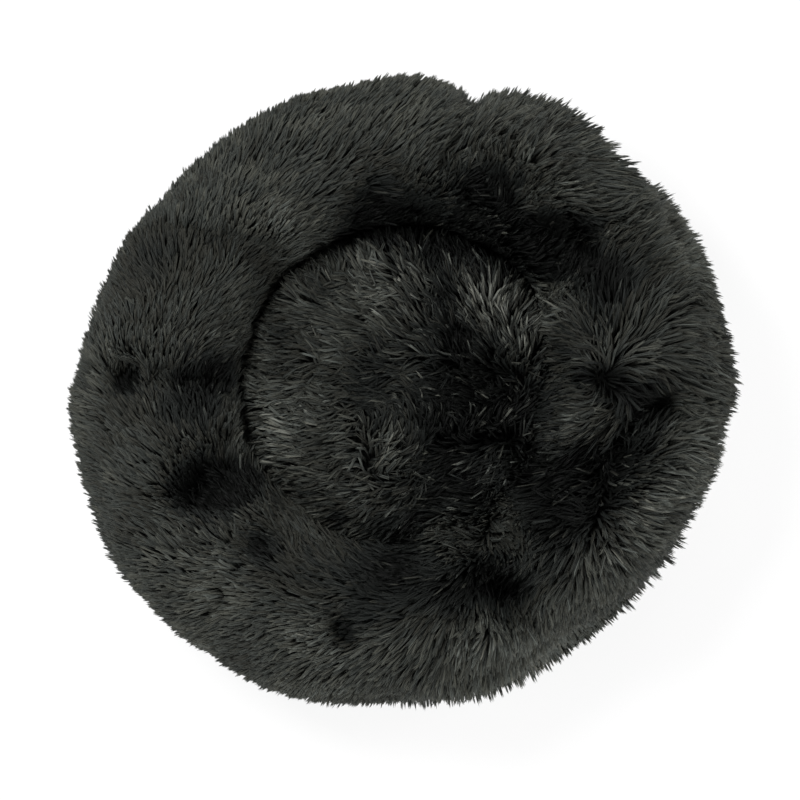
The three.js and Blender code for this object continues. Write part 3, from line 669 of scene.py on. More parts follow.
rim_angle, rim_lean, rim_reach = read_rim()
rim_plain = on_section(rim_reach, rim_angle, rim_lean)
topside = smooth_step(rim_plain[..., 2], topside_low, topside_high)
rim_swell = swell_at(rim_plain, rim_swell_pixels) - folds_at(rim_plain, rim_fold_pixels)
lip = smooth_step(np.cos(rim_angle - shoulder_side), -0.25, 0.45)
shoulder = shoulder_fall + (shoulder_rise - shoulder_fall) * lip
rim_swell += shoulder * np.exp(-((rim_lean - shoulder_lean) / shoulder_width) ** 2)
rim_swell *= topside
standing = np.interp(np.degrees(rim_angle), *np.array(outline_steps).T, period=360)
above_foot = smooth_step(rim_lean, math.radians(-35), 0)
past_crest = smooth_step(rim_lean, math.radians(50), math.radians(95))
rim_swell += standing * (above_foot * (1 - past_crest))
stuffing = np.random.default_rng(11)
for _ in range(lump_waves):
    across, along = stuffing.integers(1, 4), stuffing.integers(5, 15)
    start = stuffing.random() * 2 * math.pi
    rim_swell += lump_height * topside * np.sin(across * rim_lean * 2 + along * rim_angle + start)
rim_lie = on_section(rim_reach + rim_swell, rim_angle, rim_lean)
rim_lie[..., 2] = eased_under(rim_lie[..., 2], crest_soft, crest_top)


def grid_normals(points):
    """Normals of a grid whose first direction goes all round the bed."""
    along = np.roll(points, -1, axis=0) - np.roll(points, 1, axis=0)
    across = np.gradient(points, axis=1)
    normal = np.cross(along, across)
    return normal / np.maximum(np.linalg.norm(normal, axis=-1, keepdims=True), 1e-12)


rim_normal = grid_normals(rim_lie)

# Rim filling. A bag of white non-woven lining, in two halves sewn at the waist and behind the seat's seam,
# is stuffed with eight wads of fibre. It comes out through the zip for washing.
lining_colour = (0.68, 0.68, 0.65)
fibre_colour = (0.86, 0.86, 0.84)
lining_thickness = 0.0010
lining_under_cover = 0.0145
lining_room_turns = 4
lining_room_rows = 3
lining_pucker = 0.0009
lining_gathers = 150
lining_lesser_gathers = 97
lining_seam_rows = 5
wad_depth = 0.0024
wad_lump = 0.0014
wad_waves = 6
wad_gap = 0.0012
wad_step = math.radians(1.6)
wad_least_steps = 16
bag_rows = 96
bag_leans = np.radians(-130) + np.arange(bag_rows) * 2 * math.pi / bag_rows
waist_over_zip = 0.016
waist_inside_foot = 0.014
heel_height = 0.046
heel_radius = 0.163


def lining_material():
    material, tree, shader = principled("lining_cloth", lining_colour, roughness=0.85, specular=0.3)
    uneven = placed(tree, mottle, Broad=20.0, Fine=700.0, Amount=0.35)
    tinted(tree, shader, lining_colour, uneven.outputs["Factor"])
    pits = tree.nodes.new("ShaderNodeTexVoronoi")
    pits.inputs["Scale"].default_value = 620
    bumped(tree, shader, pits.outputs["Distance"], distance=0.0003)
    return material


def fibre_material():
    material, tree, shader = principled("fibre_fill", fibre_colour, roughness=0.95, specular=0.2)
    uneven = placed(tree, mottle, Broad=40.0, Fine=500.0, Amount=0.25)
    tinted(tree, shader, fibre_colour, uneven.outputs["Factor"])
    strands = tree.nodes.new("ShaderNodeTexNoise")
    strands.inputs["Scale"].default_value = 420
    strands.inputs["Detail"].default_value = 6
    strands.inputs["Distortion"].default_value = 3
    bumped(tree, shader, strands.outputs["Fac"], distance=0.0012)
    return material


lining_cloth = lining_material()
fibre_fill = fibre_material()


def lowest_near(values, turns, rows):
    """The least value within so many cells either way of each cell of a grid."""
    for axis, most in ((0, turns), (1, rows)):
        values = np.min([np.roll(values, step, axis=axis) for step in range(-most, most + 1)], axis=0)
    return values


def read_bag():
    """Reach of the rim's bag all round the core ring, kept under the cover with its hollows."""
    tree = search_tree("bolster_lining_top", "bolster_lining_bottom")
    turns = round_the_bed(rim_turns)
    reach = np.array([[reach_to(tree, turn, lean) or 0 for lean in bag_leans] for turn in turns])
    reach = np.where(reach == 0, np.median(reach), reach)
    reach = smoothed(smoothed(reach, 3).T, 1).T
    lie = np.empty_like(reach)
    for n in range(rim_turns):
        covered = (bag_leans > rim_lean[n, 0]) & (bag_leans < rim_lean[n, -1])
        over = np.interp(bag_leans, rim_lean[n], rim_reach[n] + rim_swell[n])
        lie[n] = np.where(covered, over, ray_reach)
    lie = lowest_near(lie, lining_room_turns, lining_room_rows)
    return smoothed(np.minimum(reach, lie - lining_under_cover), 2)


bag_reach = read_bag()
waist_rise = zip_height + waist_over_zip - core_height
waist_lean = math.atan2(waist_rise, foot_radius - waist_inside_foot - core_radius)
heel_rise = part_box("rim_cover_left")[0].z + heel_height - core_height
heel_lean = math.atan2(heel_rise, heel_radius - core_radius) % (2 * math.pi)


def lining_half(name, node, low, high, rows):
    """One half of the bag between two seams, drawn in by stitches along both."""
    share = np.linspace(0, 1, rows)
    lean = low + share * (high - low)
    turns = round_the_bed(2 * rim_turns)
    sections = np.repeat(bag_reach, 2, axis=0)
    reach = np.array([np.interp(lean, bag_leans, section, period=2 * math.pi) for section in sections])
    reach = smoothed(reach, 2)
    seam = np.exp(-share * rows / lining_seam_rows) + np.exp(-(1 - share) * rows / lining_seam_rows)
    gathers = np.sin(turns * lining_gathers) + 0.7 * np.sin(turns * lining_lesser_gathers + 2)
    reach = reach - lining_pucker * seam[None, :] * (1.7 + gathers)[:, None] / 1.7
    turn_grid = turns[:, None] + np.zeros_like(reach)
    lean_grid = lean[None, :] + np.zeros_like(reach)
    outer = on_section(reach, turn_grid, lean_grid)
    inner = on_section(reach - lining_thickness, turn_grid, lean_grid)
    piece = loft(name, np.concatenate([outer, inner[:, ::-1]], axis=1), "meet", lining_cloth)
    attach(piece, "bed")
    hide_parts(node)


seam_gap = math.radians(0.5)
lining_half("rim_lining_top", "bolster_lining_top", waist_lean + seam_gap, heel_lean - seam_gap, 44)
lining_half("rim_lining_bottom", "bolster_lining_bottom", heel_lean, waist_lean + 2 * math.pi, 36)

tuck_degrees = (40, 77, 142, 179, 233, 258, 299, 353)


def fibre_wad(number):
    """A wad between two tucks, rounded at its ends and lumpy as hand-stuffed fibre is."""
    start = math.radians(tuck_degrees[number])
    end = math.radians(tuck_degrees[(number + 1) % len(tuck_degrees)])
    end = end if end > start else end + 2 * math.pi
    margin = wad_gap / core_radius
    steps = max(wad_least_steps, int((end - start) / wad_step))
    share = (1 - np.cos(np.linspace(0, math.pi, steps))) / 2
    turns = start + margin + share * (end - start - 2 * margin)
    phases = np.random.default_rng(50 + number).random(wad_waves) * 2 * math.pi
    loops = []
    for turn, along in zip(turns, share):
        row = np.degrees(turn) % 360 / 360 * rim_turns
        low = int(row) % rim_turns
        high = (low + 1) % rim_turns
        reach = bag_reach[low] * (1 - row % 1) + bag_reach[high] * (row % 1) - wad_depth
        lump = 0
        for n, phase in enumerate(phases):
            lump = lump + np.sin(bag_leans * (n + 2) + turn * (9 + 4 * n) + phase) / (n + 1)
        reach = reach - wad_lump * (1.2 + 0.5 * lump)
        rounding = np.clip(1 - abs(2 * along - 1) ** 9, 0, 1) ** 0.5
        loops.append(on_section(reach * (0.25 + 0.75 * rounding), np.full_like(reach, turn), bag_leans))
    piece = loft(f"rim_fibre_wad_{number + 1}", np.array(loops), "fan", fibre_fill)
    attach(piece, "bed")
    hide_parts(f"bolster_filling_{number + 1}")


for number in range(len(tuck_degrees)):
    fibre_wad(number)

# Seat pad. A round cushion of fibre in its own sewn lining lies on the base cloth and lifts the seat cover
# into a mound. A woven tape is sewn behind the seam of rim and seat.
seat_low, seat_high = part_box("seat_cover")
pad_low, pad_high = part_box("pad_lining_bottom")
pad_seam_height = pad_high.z
pad_radius = pad_high.x
pad_steps = 240
pad_pucker = 0.0008
pad_pucker_reach = 0.009
pad_under_rings = 14
pad_over_rings = 18
seat_radius = seat_high.x
seat_rings = 40
seat_turns = 144
seat_pile_depth = 0.0105
seat_fullness = 0.013
seat_full_place, seat_full_width = 0.9, 0.17
pad_under_cover = 0.0135
# Where the seat swells or sinks: pixel, reach and rise, in metres.
seat_swell_pixels = [
    ((492, 300), 0.022, 0.011), ((330, 420), 0.040, 0.003), ((400, 440), 0.020, 0.003),
    ((500, 403), 0.028, -0.016), ((470, 470), 0.020, -0.005), ((455, 335), 0.012, -0.009),
]
seat_fold_pixels = [((428, 245), (470, 335), 0.005, 0.010), ((470, 335), (535, 400), 0.006, 0.010)]


def read_seat():
    """The lie of the seat's pile, from its middle to the seam, as a grid of turns and rings."""
    tree = search_tree("seat_cover")
    turns = round_the_bed(seat_turns)
    radii = np.linspace(0.0008, seat_radius - 0.0004, seat_rings)
    grid = np.zeros((seat_turns, seat_rings, 3))
    for n, turn in enumerate(turns):
        for ring, radius in enumerate(radii):
            x, y = radius * math.cos(turn), radius * math.sin(turn)
            hit = tree.ray_cast(Vector((x, y, 2 * seat_high.z)), Vector((0, 0, -1)))
            grid[n, ring] = (x, y, hit[0].z if hit[0] else seat_low.z)
    return grid


seat_lie = read_seat()
seat_across = np.linalg.norm(seat_lie[..., :2], axis=-1)
edge_fade = smooth_step(seat_radius - seat_across, 0, 0.014)
full_ring = np.exp(-((seat_across / seat_radius - seat_full_place) / seat_full_width) ** 2)
seat_lie[..., 2] += seat_fullness * full_ring * edge_fade
seat_dome = seat_lie[..., 2].min(axis=0)
seat_swell = swell_at(seat_lie, seat_swell_pixels) - folds_at(seat_lie, seat_fold_pixels)
seat_lie[..., 2] += seat_swell * edge_fade


def pad_profile(inset):
    """Half section of the pad from under its middle, round its seam, to its crown."""
    points = []
    for share in np.linspace(0.01, 1, pad_under_rings):
        across = (pad_radius - inset) * share
        drop = (pad_seam_height - pad_low.z - inset) * (1 - share ** 5) ** 0.2
        points.append((across, pad_seam_height - drop))
    for share in np.linspace(0.985, 0.01, pad_over_rings):
        across = (pad_radius - inset) * share
        crown = np.interp(across, seat_across[0], seat_dome) - pad_under_cover - inset
        side = (1 - share ** 12) ** (1 / 4)
        points.append((across, pad_seam_height + (crown - pad_seam_height) * side))
    return points


def pad_piece(name, node, profile, material):
    loops = turned(profile, pad_steps)
    near_seam = np.exp(-np.abs(loops[..., 2] - pad_seam_height) / pad_pucker_reach)
    turns = round_the_bed(pad_steps)
    gathers = np.sin(turns * 74) + 0.7 * np.sin(turns * 47 + 1)
    loops[..., :2] *= 1 - (pad_pucker / pad_radius * near_seam * (1.7 + gathers))[..., None]
    sink = np.minimum(swell_at(loops, seat_swell_pixels) - folds_at(loops, seat_fold_pixels), 0)
    crown = smooth_step(loops[..., 2], pad_seam_height, seat_high.z - pad_under_cover)
    loops[..., 2] += sink * crown
    piece = loft(name, loops, "fan", material)
    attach(piece, "bed")
    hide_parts(node)


def bowl(outer, inner, count):
    """Outer line from a pole to the seam, then the inner line back."""
    return outer[:count] + inner[:count][::-1]


pad_outer = pad_profile(0)
pad_inner = pad_profile(lining_thickness)
lining_under = bowl(pad_outer, pad_inner, pad_under_rings)
lining_over = bowl(pad_outer[::-1], pad_inner[::-1], pad_over_rings)
pad_fibre = pad_profile(lining_thickness + 0.001)
pad_piece("seat_pad_lining_bottom", "pad_lining_bottom", lining_under, lining_cloth)
pad_piece("seat_pad_lining_top", "pad_lining_top", lining_over, lining_cloth)
pad_piece("seat_pad_fibre", "pad_filling", pad_fibre, fibre_fill)

binding_low, binding_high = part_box("seat_seam_binding")
binding_width = 0.008
binding_wave = 0.0003
binding_rows = 9
binding_loops = []
for share in np.linspace(0, 1, binding_rows):
    wave = binding_wave * math.sin(share * 9) ** 2
    binding_loops.append((binding_high.x - binding_width * share, binding_high.z - wave))
for share in np.linspace(1, 0, binding_rows):
    binding_loops.append((binding_high.x - binding_width * share, binding_low.z + binding_wave))
binding_grid = turned(binding_loops, 360).transpose(1, 0, 2)
seam_tape = loft("seat_seam_tape", binding_grid, "meet", tape_cloth)
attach(seam_tape, "bed")
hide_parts("seat_seam_binding")

# Rim cover. Two panels of long-pile plush, sewn together in two of the tucks, to the seat at the nest's edge
# and hemmed at the foot. Its knitted backing is hidden under pile combed to lie in whorls and sweeps.
backing_colour = (0.003, 0.0032, 0.003)
backing_thickness = 0.0013
pile_depth = 0.0105
hem_pile_depth = 0.006
seam_degrees = (77, 258)


def backing_material():
    material, tree, shader = principled("pile_backing", backing_colour, roughness=0.9, specular=0.02)
    uneven = placed(tree, mottle, Broad=25.0, Fine=300.0, Amount=0.9)
    tinted(tree, shader, backing_colour, uneven.outputs["Factor"])
    knit = tree.nodes.new("ShaderNodeTexVoronoi")
    knit.inputs["Scale"].default_value = 700
    bumped(tree, shader, knit.outputs["Distance"], distance=0.0004)
    return material


pile_backing = backing_material()
rim_share = np.linspace(0, 1, rim_rows)
depth_share = smooth_step(rim_share, 0, 0.12)
rim_depth = hem_pile_depth + (pile_depth - hem_pile_depth) * depth_share
rim_backing = rim_lie - rim_normal * rim_depth[None, :, None]
rim_backing_normal = grid_normals(rim_backing)


def turns_between(first, last):
    """Rows of the rim's grid from one seam to the next, going round."""
    low = round(first / 360 * rim_turns)
    high = round(last / 360 * rim_turns)
    high = high if high > low else high + rim_turns
    return np.arange(low, high + 1) % rim_turns


def backing_panel(name, node, first, last):
    rows = turns_between(first, last)
    outer = rim_backing[rows]
    inner = outer - rim_backing_normal[rows] * backing_thickness
    piece = loft(name, np.concatenate([outer, inner[:, ::-1]], axis=1), "strip", pile_backing)
    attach(piece, "bed")
    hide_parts(node)


backing_panel("rim_cloth_left", "rim_cover_left", seam_degrees[0], seam_degrees[1])
backing_panel("rim_cloth_right", "rim_cover_right", seam_degrees[1], seam_degrees[0])

# Which way the pile on the rim is combed: pixel and direction in degrees, 0 to the right and 90 up.
rim_comb_pixels = [
    (98, 300, 118), (112, 350, 100), (85, 380, 140), (72, 400, 148), (72, 440, 150), (78, 480, 152),
    (90, 510, 150), (110, 540, 152), (115, 260, 112), (140, 262, 106), (140, 300, 138), (140, 340, 82),
    (108, 332, 104), (165, 355, 76), (180, 340, 66), (180, 300, 73), (150, 320, 94), (220, 300, 59),
    (220, 340, 46), (228, 330, 46), (255, 300, 52), (260, 260, 52), (222, 262, 80), (180, 260, 82),
    (180, 220, 77), (180, 195, 88), (150, 200, 104), (205, 140, 86), (215, 190, 74), (222, 220, 66),
    (250, 145, 70), (260, 180, 57), (260, 220, 52), (300, 180, 41), (300, 140, 49), (300, 220, 39),
    (300, 255, 38), (290, 115, 60), (330, 105, 50), (340, 140, 46), (340, 180, 32), (340, 220, 40),
    (380, 180, 14), (380, 140, 52), (375, 82, 45), (380, 100, 38), (420, 100, 40), (420, 140, 50),
    (420, 180, 62), (405, 205, 40), (460, 140, 41), (460, 110, 42), (500, 112, 46), (500, 140, 43),
    (545, 115, 40), (540, 140, 49), (580, 140, 20), (610, 150, 8), (620, 182, -28), (598, 182, -20),
    (575, 180, -3), (560, 172, 10), (540, 180, 28), (520, 192, 45), (540, 205, 42), (540, 222, 44),
    (500, 180, 80), (480, 165, 72), (505, 165, 56), (440, 185, 62), (450, 212, 40), (460, 220, 33),
    (480, 205, 24), (470, 235, 28), (500, 220, 62), (515, 225, 45), (560, 205, 18), (585, 215, 0),
    (600, 230, 10), (620, 220, 30), (645, 225, 26), (620, 260, 44), (640, 262, 36), (660, 260, 26),
    (660, 300, 34), (690, 262, 0), (700, 300, -30), (716, 300, -32), (700, 342, -2), (660, 340, 21),
    (645, 358, 20), (655, 372, -12), (640, 335, 46), (620, 335, 70), (620, 300, 64), (600, 300, 84),
    (580, 300, 104), (580, 262, 76), (555, 255, 350), (540, 278, 8), (555, 292, -4), (535, 302, -14),
    (556, 318, 140), (603, 332, 92), (590, 330, 114), (576, 345, 142), (550, 335, 150), (545, 360, 160),
    (560, 365, 172), (576, 384, 194), (556, 386, 202), (624, 386, -20), (660, 380, -36), (700, 380, -36),
    (718, 388, -26), (682, 402, -14), (700, 420, 14), (722, 440, -2), (660, 420, 38), (640, 412, 28),
    (645, 446, 14), (620, 420, 208), (600, 420, 204), (580, 420, 202), (560, 420, 190), (612, 442, 208),
    (588, 445, 206), (580, 462, 212), (550, 458, 194), (625, 470, -4), (660, 460, 2), (700, 455, -8),
    (690, 490, -10), (660, 500, -4), (630, 505, -20), (560, 480, 200), (540, 500, 202), (520, 500, 196),
    (580, 505, 196), (545, 545, 213), (510, 568, 210), (532, 578, 222), (560, 562, 226), (578, 545, 250),
    (620, 535, -24), (655, 545, -20), (640, 565, -40), (620, 580, -56), (600, 585, -70), (582, 580, -80),
    (560, 590, 262), (540, 620, 278), (525, 598, 256), (560, 650, 285), (600, 625, 305), (645, 600, 318),
    (500, 625, 277), (500, 660, 267), (505, 692, 266), (460, 620, 252), (460, 660, 266), (480, 605, 262),
    (450, 692, 264), (420, 620, 234), (420, 660, 234), (440, 640, 248), (400, 690, 248), (400, 640, 222),
    (380, 620, 192), (380, 660, 208), (365, 690, 226), (340, 622, 186), (340, 660, 211), (300, 655, 204),
    (300, 620, 186), (320, 700, 236), (285, 690, 222), (265, 640, 194), (220, 620, 194), (240, 645, 190),
    (180, 580, 171), (220, 580, 177), (175, 635, 188), (150, 580, 162), (190, 610, 180), (260, 580, 166),
    (300, 580, 148), (340, 580, 165), (375, 585, 172), (345, 600, 180), (310, 600, 178), (300, 540, 124),
    (305, 520, 126), (325, 545, 140), (345, 560, 150), (372, 545, 157), (260, 540, 160), (262, 502, 134),
    (240, 520, 142), (220, 540, 140), (180, 540, 147), (140, 540, 148), (180, 502, 158), (140, 500, 152),
    (140, 460, 142), (180, 462, 128), (185, 440, 122), (200, 475, 130), (140, 420, 131), (180, 418, 120),
    (105, 440, 136), (100, 418, 144), (225, 425, 80), (215, 445, 105), (228, 400, 80), (238, 370, 76),
    (108, 394, 140), (140, 370, 80), (180, 372, 66), (145, 400, 128), (185, 400, 112), (420, 540, 206),
    (425, 522, 186), (455, 538, 190), (440, 562, 202), (412, 566, 200),
    (500, 538, 325), (510, 550, 320), (507, 520, 354), (500, 500, 5), (425, 582, 209), (460, 582, 222),
    (395, 592, 182), (485, 588, 252), (448, 604, 240),
    (600, 371, 92), (590, 371, 118), (609, 372, 60), (624, 362, 40), (638, 357, 28), (660, 354, 8),
    (475, 530, 176), (570, 376, 196), (568, 394, 208), (583, 396, 208), (614, 380, -12), (616, 390, -38),
    (645, 388, -38), (602, 388, -50),
    (292, 508, 150), (545, 265, -6), (580, 312, 104), (622, 318, 58), (606, 318, 84), (530, 495, 204),
    (552, 508, 206), (615, 498, -34), (612, 515, -36), (605, 410, 206),
    (125, 366, 98), (150, 370, 88), (170, 372, 72), (190, 368, 62), (205, 356, 58), (125, 402, 142),
    (150, 404, 132), (172, 402, 122), (195, 400, 112), (300, 500, 160), (620, 432, 30), (640, 430, 34),
    (122, 308, 126), (150, 286, 116),
]
comb_reach = 0.011
comb_fading = -1.8
comb_sag = 0.36
strand_sag = 0.10
least_rise = 0.35


def plan_combs(points, table):
    """Directions in plan at each point, from the listed directions near it."""
    spots = np.array([place_of((x, y)) for x, y, _ in table])
    angles = np.radians([angle for _, _, angle in table])
    ways = np.stack([np.cos(angles), np.sin(angles)], -1)
    gap = ((points[:, None, :2] - spots[None]) ** 2).sum(-1)
    weight = (gap + comb_reach ** 2) ** comb_fading
    way = weight @ ways
    length = np.linalg.norm(way, axis=-1)
    return way / length[:, None], length / weight.sum(axis=-1)


def turned_by(plan, angle):
    x = plan[:, 0] * np.cos(angle) - plan[:, 1] * np.sin(angle)
    y = plan[:, 0] * np.sin(angle) + plan[:, 1] * np.cos(angle)
    return np.stack([x, y], -1)


def unit(vectors):
    return vectors / np.maximum(np.linalg.norm(vectors, axis=-1, keepdims=True), 1e-12)


def wander(points, seed, waves, least, most):
    """A slow unevenness over the cloth, from -1 to 1."""
    draw = np.random.default_rng(seed)
    total = np.zeros(len(points))
    for _ in range(waves):
        way = draw.normal(size=3)
        way *= 2 * math.pi / draw.uniform(least, most) / np.linalg.norm(way)
        total += np.sin(points @ way + draw.random() * 2 * math.pi)
    return total / math.sqrt(waves)


def scatter(points, normals, count, draw, density=None):
    """Roots spread evenly by area over a grid of cloth, with the cloth's normal at each."""
    side = points[1:, :-1] - points[:-1, :-1]
    up = points[:-1, 1:] - points[:-1, :-1]
    area = np.linalg.norm(np.cross(side, up), axis=-1)
    if density is not None:
        area = area * density
    total = np.cumsum(area.ravel())
    picks = (np.arange(count) + draw.random(count)) * total[-1] / count
    cell = np.minimum(np.searchsorted(total, picks), total.size - 1)
    i, j = np.unravel_index(cell, area.shape)
    u, v = draw.random((2, count, 1))

    def blend(grid):
        near = grid[i, j] * (1 - u) + grid[i + 1, j] * u
        far = grid[i, j + 1] * (1 - u) + grid[i + 1, j + 1] * u
        return near * (1 - v) + far * v

    return blend(points), unit(blend(normals))


lock_area = 8.6e-6
tuft_size = 0.0056
strand_width = 0.0010
strands_per_lock = 5
ring_shares = (0.0, 0.42, 0.86, 1.0)
ring_widths = (0.85, 1.0, 0.85)
shade_step = 0.006
map_shade_start, map_shade_span = 0.01, 0.97
map_root, map_length = 0.005, 0.98
calm_root = 0.50
clump_raggedness = 0.0014


def laid(plan, normals, flank):
    """Directions along the cloth from directions in plan: on the rim's outer flank they sag, and elsewhere
    they keep their direction in plan on any slope."""
    steep = 1 - np.abs(normals[:, 2:])
    sagging = np.concatenate([plan, -comb_sag * (0.2 + steep)], axis=1)
    sagging = unit(sagging - normals * (sagging * normals).sum(-1, keepdims=True))
    slope = -(plan * normals[:, :2]).sum(-1, keepdims=True) / np.maximum(normals[:, 2:], least_rise)
    level = unit(np.concatenate([plan, slope - 0.2 * comb_sag], axis=1))
    return unit(sagging * flank[:, None] + level * (1 - flank)[:, None])


def lock_curves(roots, normals, way_at, twist, bends, flank, lengths, lift_root, lift_tip):
    """Middle line of each lock: it rises from the cloth and bends over to lie as the pile is combed
    there."""
    curve = [roots]
    rises = unit(normals + np.array([0, 0, 1]) * (1 - flank)[:, None])
    for low, high in zip(ring_shares[:-1], ring_shares[1:]):
        middle = (low + high) / 2
        lift = lift_tip + (lift_root - lift_tip) * (1 - middle) ** 1.6
        along = laid(way_at(curve[-1], twist + bends * middle)[0], normals, flank)
        way = along * np.cos(lift)[:, None] + rises * np.sin(lift)[:, None]
        way[:, 2] -= strand_sag * middle
        curve.append(curve[-1] + unit(way) * (lengths * (high - low))[:, None])
    return np.stack(curve, axis=1)


def nearest(points, spots):
    """Which spot is the nearest to each point."""
    tree = KDTree(len(spots))
    for n, spot in enumerate(spots):
        tree.insert(spot, n)
    tree.balance()
    return np.array([tree.find(point)[1] for point in points])


clump_turn, clump_bend, clump_lean, clump_shade = range(4)


def clumps_at(roots, spots, draw):
    """Four even draws for the clump of pile that each root belongs to. The clumps have ragged borders."""
    owner = nearest(roots + draw.normal(0, clump_raggedness, roots.shape), spots)
    return np.random.default_rng(31).normal(0, 1, (len(spots), 4))[owner]


def clump_spots(points, normals, count, seed):
    """Middles of the clumps, spread over a cloth that goes all round the bed."""
    all_round = np.arange(len(points) + 1) % len(points)
    return scatter(points[all_round], normals[all_round], count, np.random.default_rng(seed))[0]


def gather_tufts(curves, size, pull, draw):
    """Neighbouring locks lean together into tufts, more at their tips."""
    roots = curves[:, 0]
    count = max(1, int(len(roots) * lock_area / (size * size)))
    owner = nearest(roots, roots[draw.choice(len(roots), count, replace=False)])
    members = np.bincount(owner, minlength=count)[:, None]
    for ring in range(1, curves.shape[1]):
        sums = [np.bincount(owner, curves[:, ring, axis], count) for axis in range(3)]
        middle = np.stack(sums, -1) / members
        share = (pull * ring_shares[ring] ** 1.3)[:, None]
        curves[:, ring] += (middle[owner] - curves[:, ring]) * share
    return curves


def strand_mesh(name, curves, widths, shades, calm, material):
    """Three-sided strands with a closed root and a short tip. In their map, u is the strand's shade, with the
    painted light and shade in it, and v runs from root to tip. v starts further along where the pile is calm,
    so that the painted shade at the roots leaves no dark slits there."""
    count = len(curves)
    tangents = np.empty((count, 3, 3))
    tangents[:, 0] = curves[:, 1] - curves[:, 0]
    tangents[:, 1] = curves[:, 2] - curves[:, 0]
    tangents[:, 2] = curves[:, 3] - curves[:, 1]
    tangents = unit(tangents)
    spin = np.random.default_rng(len(name)).random((count, 3)) - 0.5
    side = unit(np.cross(tangents, spin[:, None, :]))
    other = np.cross(tangents, side)
    corners = []
    for n in range(3):
        turn = n * 2 * math.pi / 3
        offset = side * math.cos(turn) + other * math.sin(turn)
        breadth = widths[:, None, None] / 2 * np.array(ring_widths)[None, :, None]
        corners.append(curves[:, :3] + offset * breadth)
    rings = np.stack(corners, axis=2).reshape(count, 9, 3)
    points = np.concatenate([rings, curves[:, 3:4]], axis=1).reshape(-1, 3)

    corner_map = [(n / 2, ring_shares[ring] + 0.01 * (n == 1)) for ring in range(3) for n in range(3)]
    corner_map.append((0.5, 1))
    faces = [(0, 2, 1)]
    for ring in range(2):
        for n in range(3):
            low, high = ring * 3, ring * 3 + 3
            m = (n + 1) % 3
            faces += [(low + n, low + m, high + m), (low + n, high + m, high + n)]
    faces += [(6, 7, 9), (7, 8, 9), (8, 6, 9)]
    faces = np.array(faces)
    map_corners = np.array(corner_map)[faces]

    corner_points = (faces[None] + (np.arange(count) * 10)[:, None, None]).reshape(-1)
    mesh = bpy.data.meshes.new(name)
    mesh.vertices.add(len(points))
    mesh.vertices.foreach_set("co", points.astype(np.float32).ravel())
    mesh.loops.add(len(corner_points))
    mesh.loops.foreach_set("vertex_index", corner_points.astype(np.int32))
    mesh.polygons.add(len(corner_points) // 3)
    mesh.polygons.foreach_set("loop_start", np.arange(0, len(corner_points), 3, dtype=np.int32))
    mesh.update(calc_edges=True)
    mesh.polygons.foreach_set("use_smooth", np.ones(len(mesh.polygons), bool))
    layer = mesh.uv_layers.new(name="OFBake")
    maps = np.empty((count, *map_corners.shape))
    shade_places = map_shade_start + shades[:, None, None] * map_shade_span
    maps[..., 0] = shade_places + map_corners[None, ..., 0] * shade_step
    start = calm_root * calm[:, None, None]
    maps[..., 1] = map_root + (start + (1 - start) * map_corners[None, ..., 1]) * map_length
    layer.data.foreach_set("uv", maps.astype(np.float32).ravel())
    mesh.materials.append(material)
    piece = bpy.data.objects.new(name, mesh)
    bpy.context.scene.collection.objects.link(piece)
    return piece


# Shades from the darkest to the palest strand, some a little warmer and some cooler: dyed, and moved darker or
# paler by the painted light and shade.
darkest_shade = (0.0025, 0.0027, 0.0025, 1)
palest_shade = (0.190, 0.197, 0.178, 1)
shade_steps = [
    (0.25, (0.0165, 0.0185, 0.0175, 1)), (0.36, (0.0285, 0.0285, 0.0240, 1)),
    (0.45, (0.0355, 0.0395, 0.0370, 1)), (0.55, (0.0580, 0.0590, 0.0500, 1)),
    (0.68, (0.0830, 0.0910, 0.0850, 1)), (0.80, (0.1200, 0.1200, 0.1030, 1)),
]
# Painted shade along a strand, deep at its root and less along its body, and painted light at its tip.
root_painted_shade = (0.1, 0.1, 0.1, 1)
body_painted_shade = (0.75, 0.75, 0.75, 1)
tip_painted_light = (1.25, 1.25, 1.22, 1)
body_place = 0.55


def pile_material():
    """Charcoal plush: a strand's shade from the map, with painted shade towards its root and painted light at
    its tip.
    """
    material, tree, shader = principled("pile_cloth", (0.05, 0.053, 0.047), roughness=0.45, specular=0.06)
    strand_map = tree.nodes.new("ShaderNodeUVMap")
    strand_map.uv_map = "OFBake"
    parts = tree.nodes.new("ShaderNodeSeparateXYZ")
    link(tree, strand_map.outputs[0], parts.inputs[0])
    shade = tree.nodes.new("ShaderNodeValToRGB")
    shade.color_ramp.elements[0].color = darkest_shade
    shade.color_ramp.elements[1].color = palest_shade
    for place, colour in shade_steps:
        shade.color_ramp.elements.new(place).color = colour
    link(tree, parts.outputs["X"], shade.inputs["Fac"])
    along = tree.nodes.new("ShaderNodeValToRGB")
    along.color_ramp.elements[0].color = root_painted_shade
    along.color_ramp.elements[1].color = tip_painted_light
    along.color_ramp.elements.new(body_place).color = body_painted_shade
    link(tree, parts.outputs["Y"], along.inputs["Fac"])
    mix = tree.nodes.new("ShaderNodeMix")
    mix.data_type = "RGBA"
    mix.blend_type = "MULTIPLY"
    mix.inputs[0].default_value = 1
    link(tree, shade.outputs["Color"], mix.inputs[6])
    link(tree, along.outputs["Color"], mix.inputs[7])
    link(tree, mix.outputs[2], shader.inputs["Base Color"])
    return material


pile_cloth = pile_material()
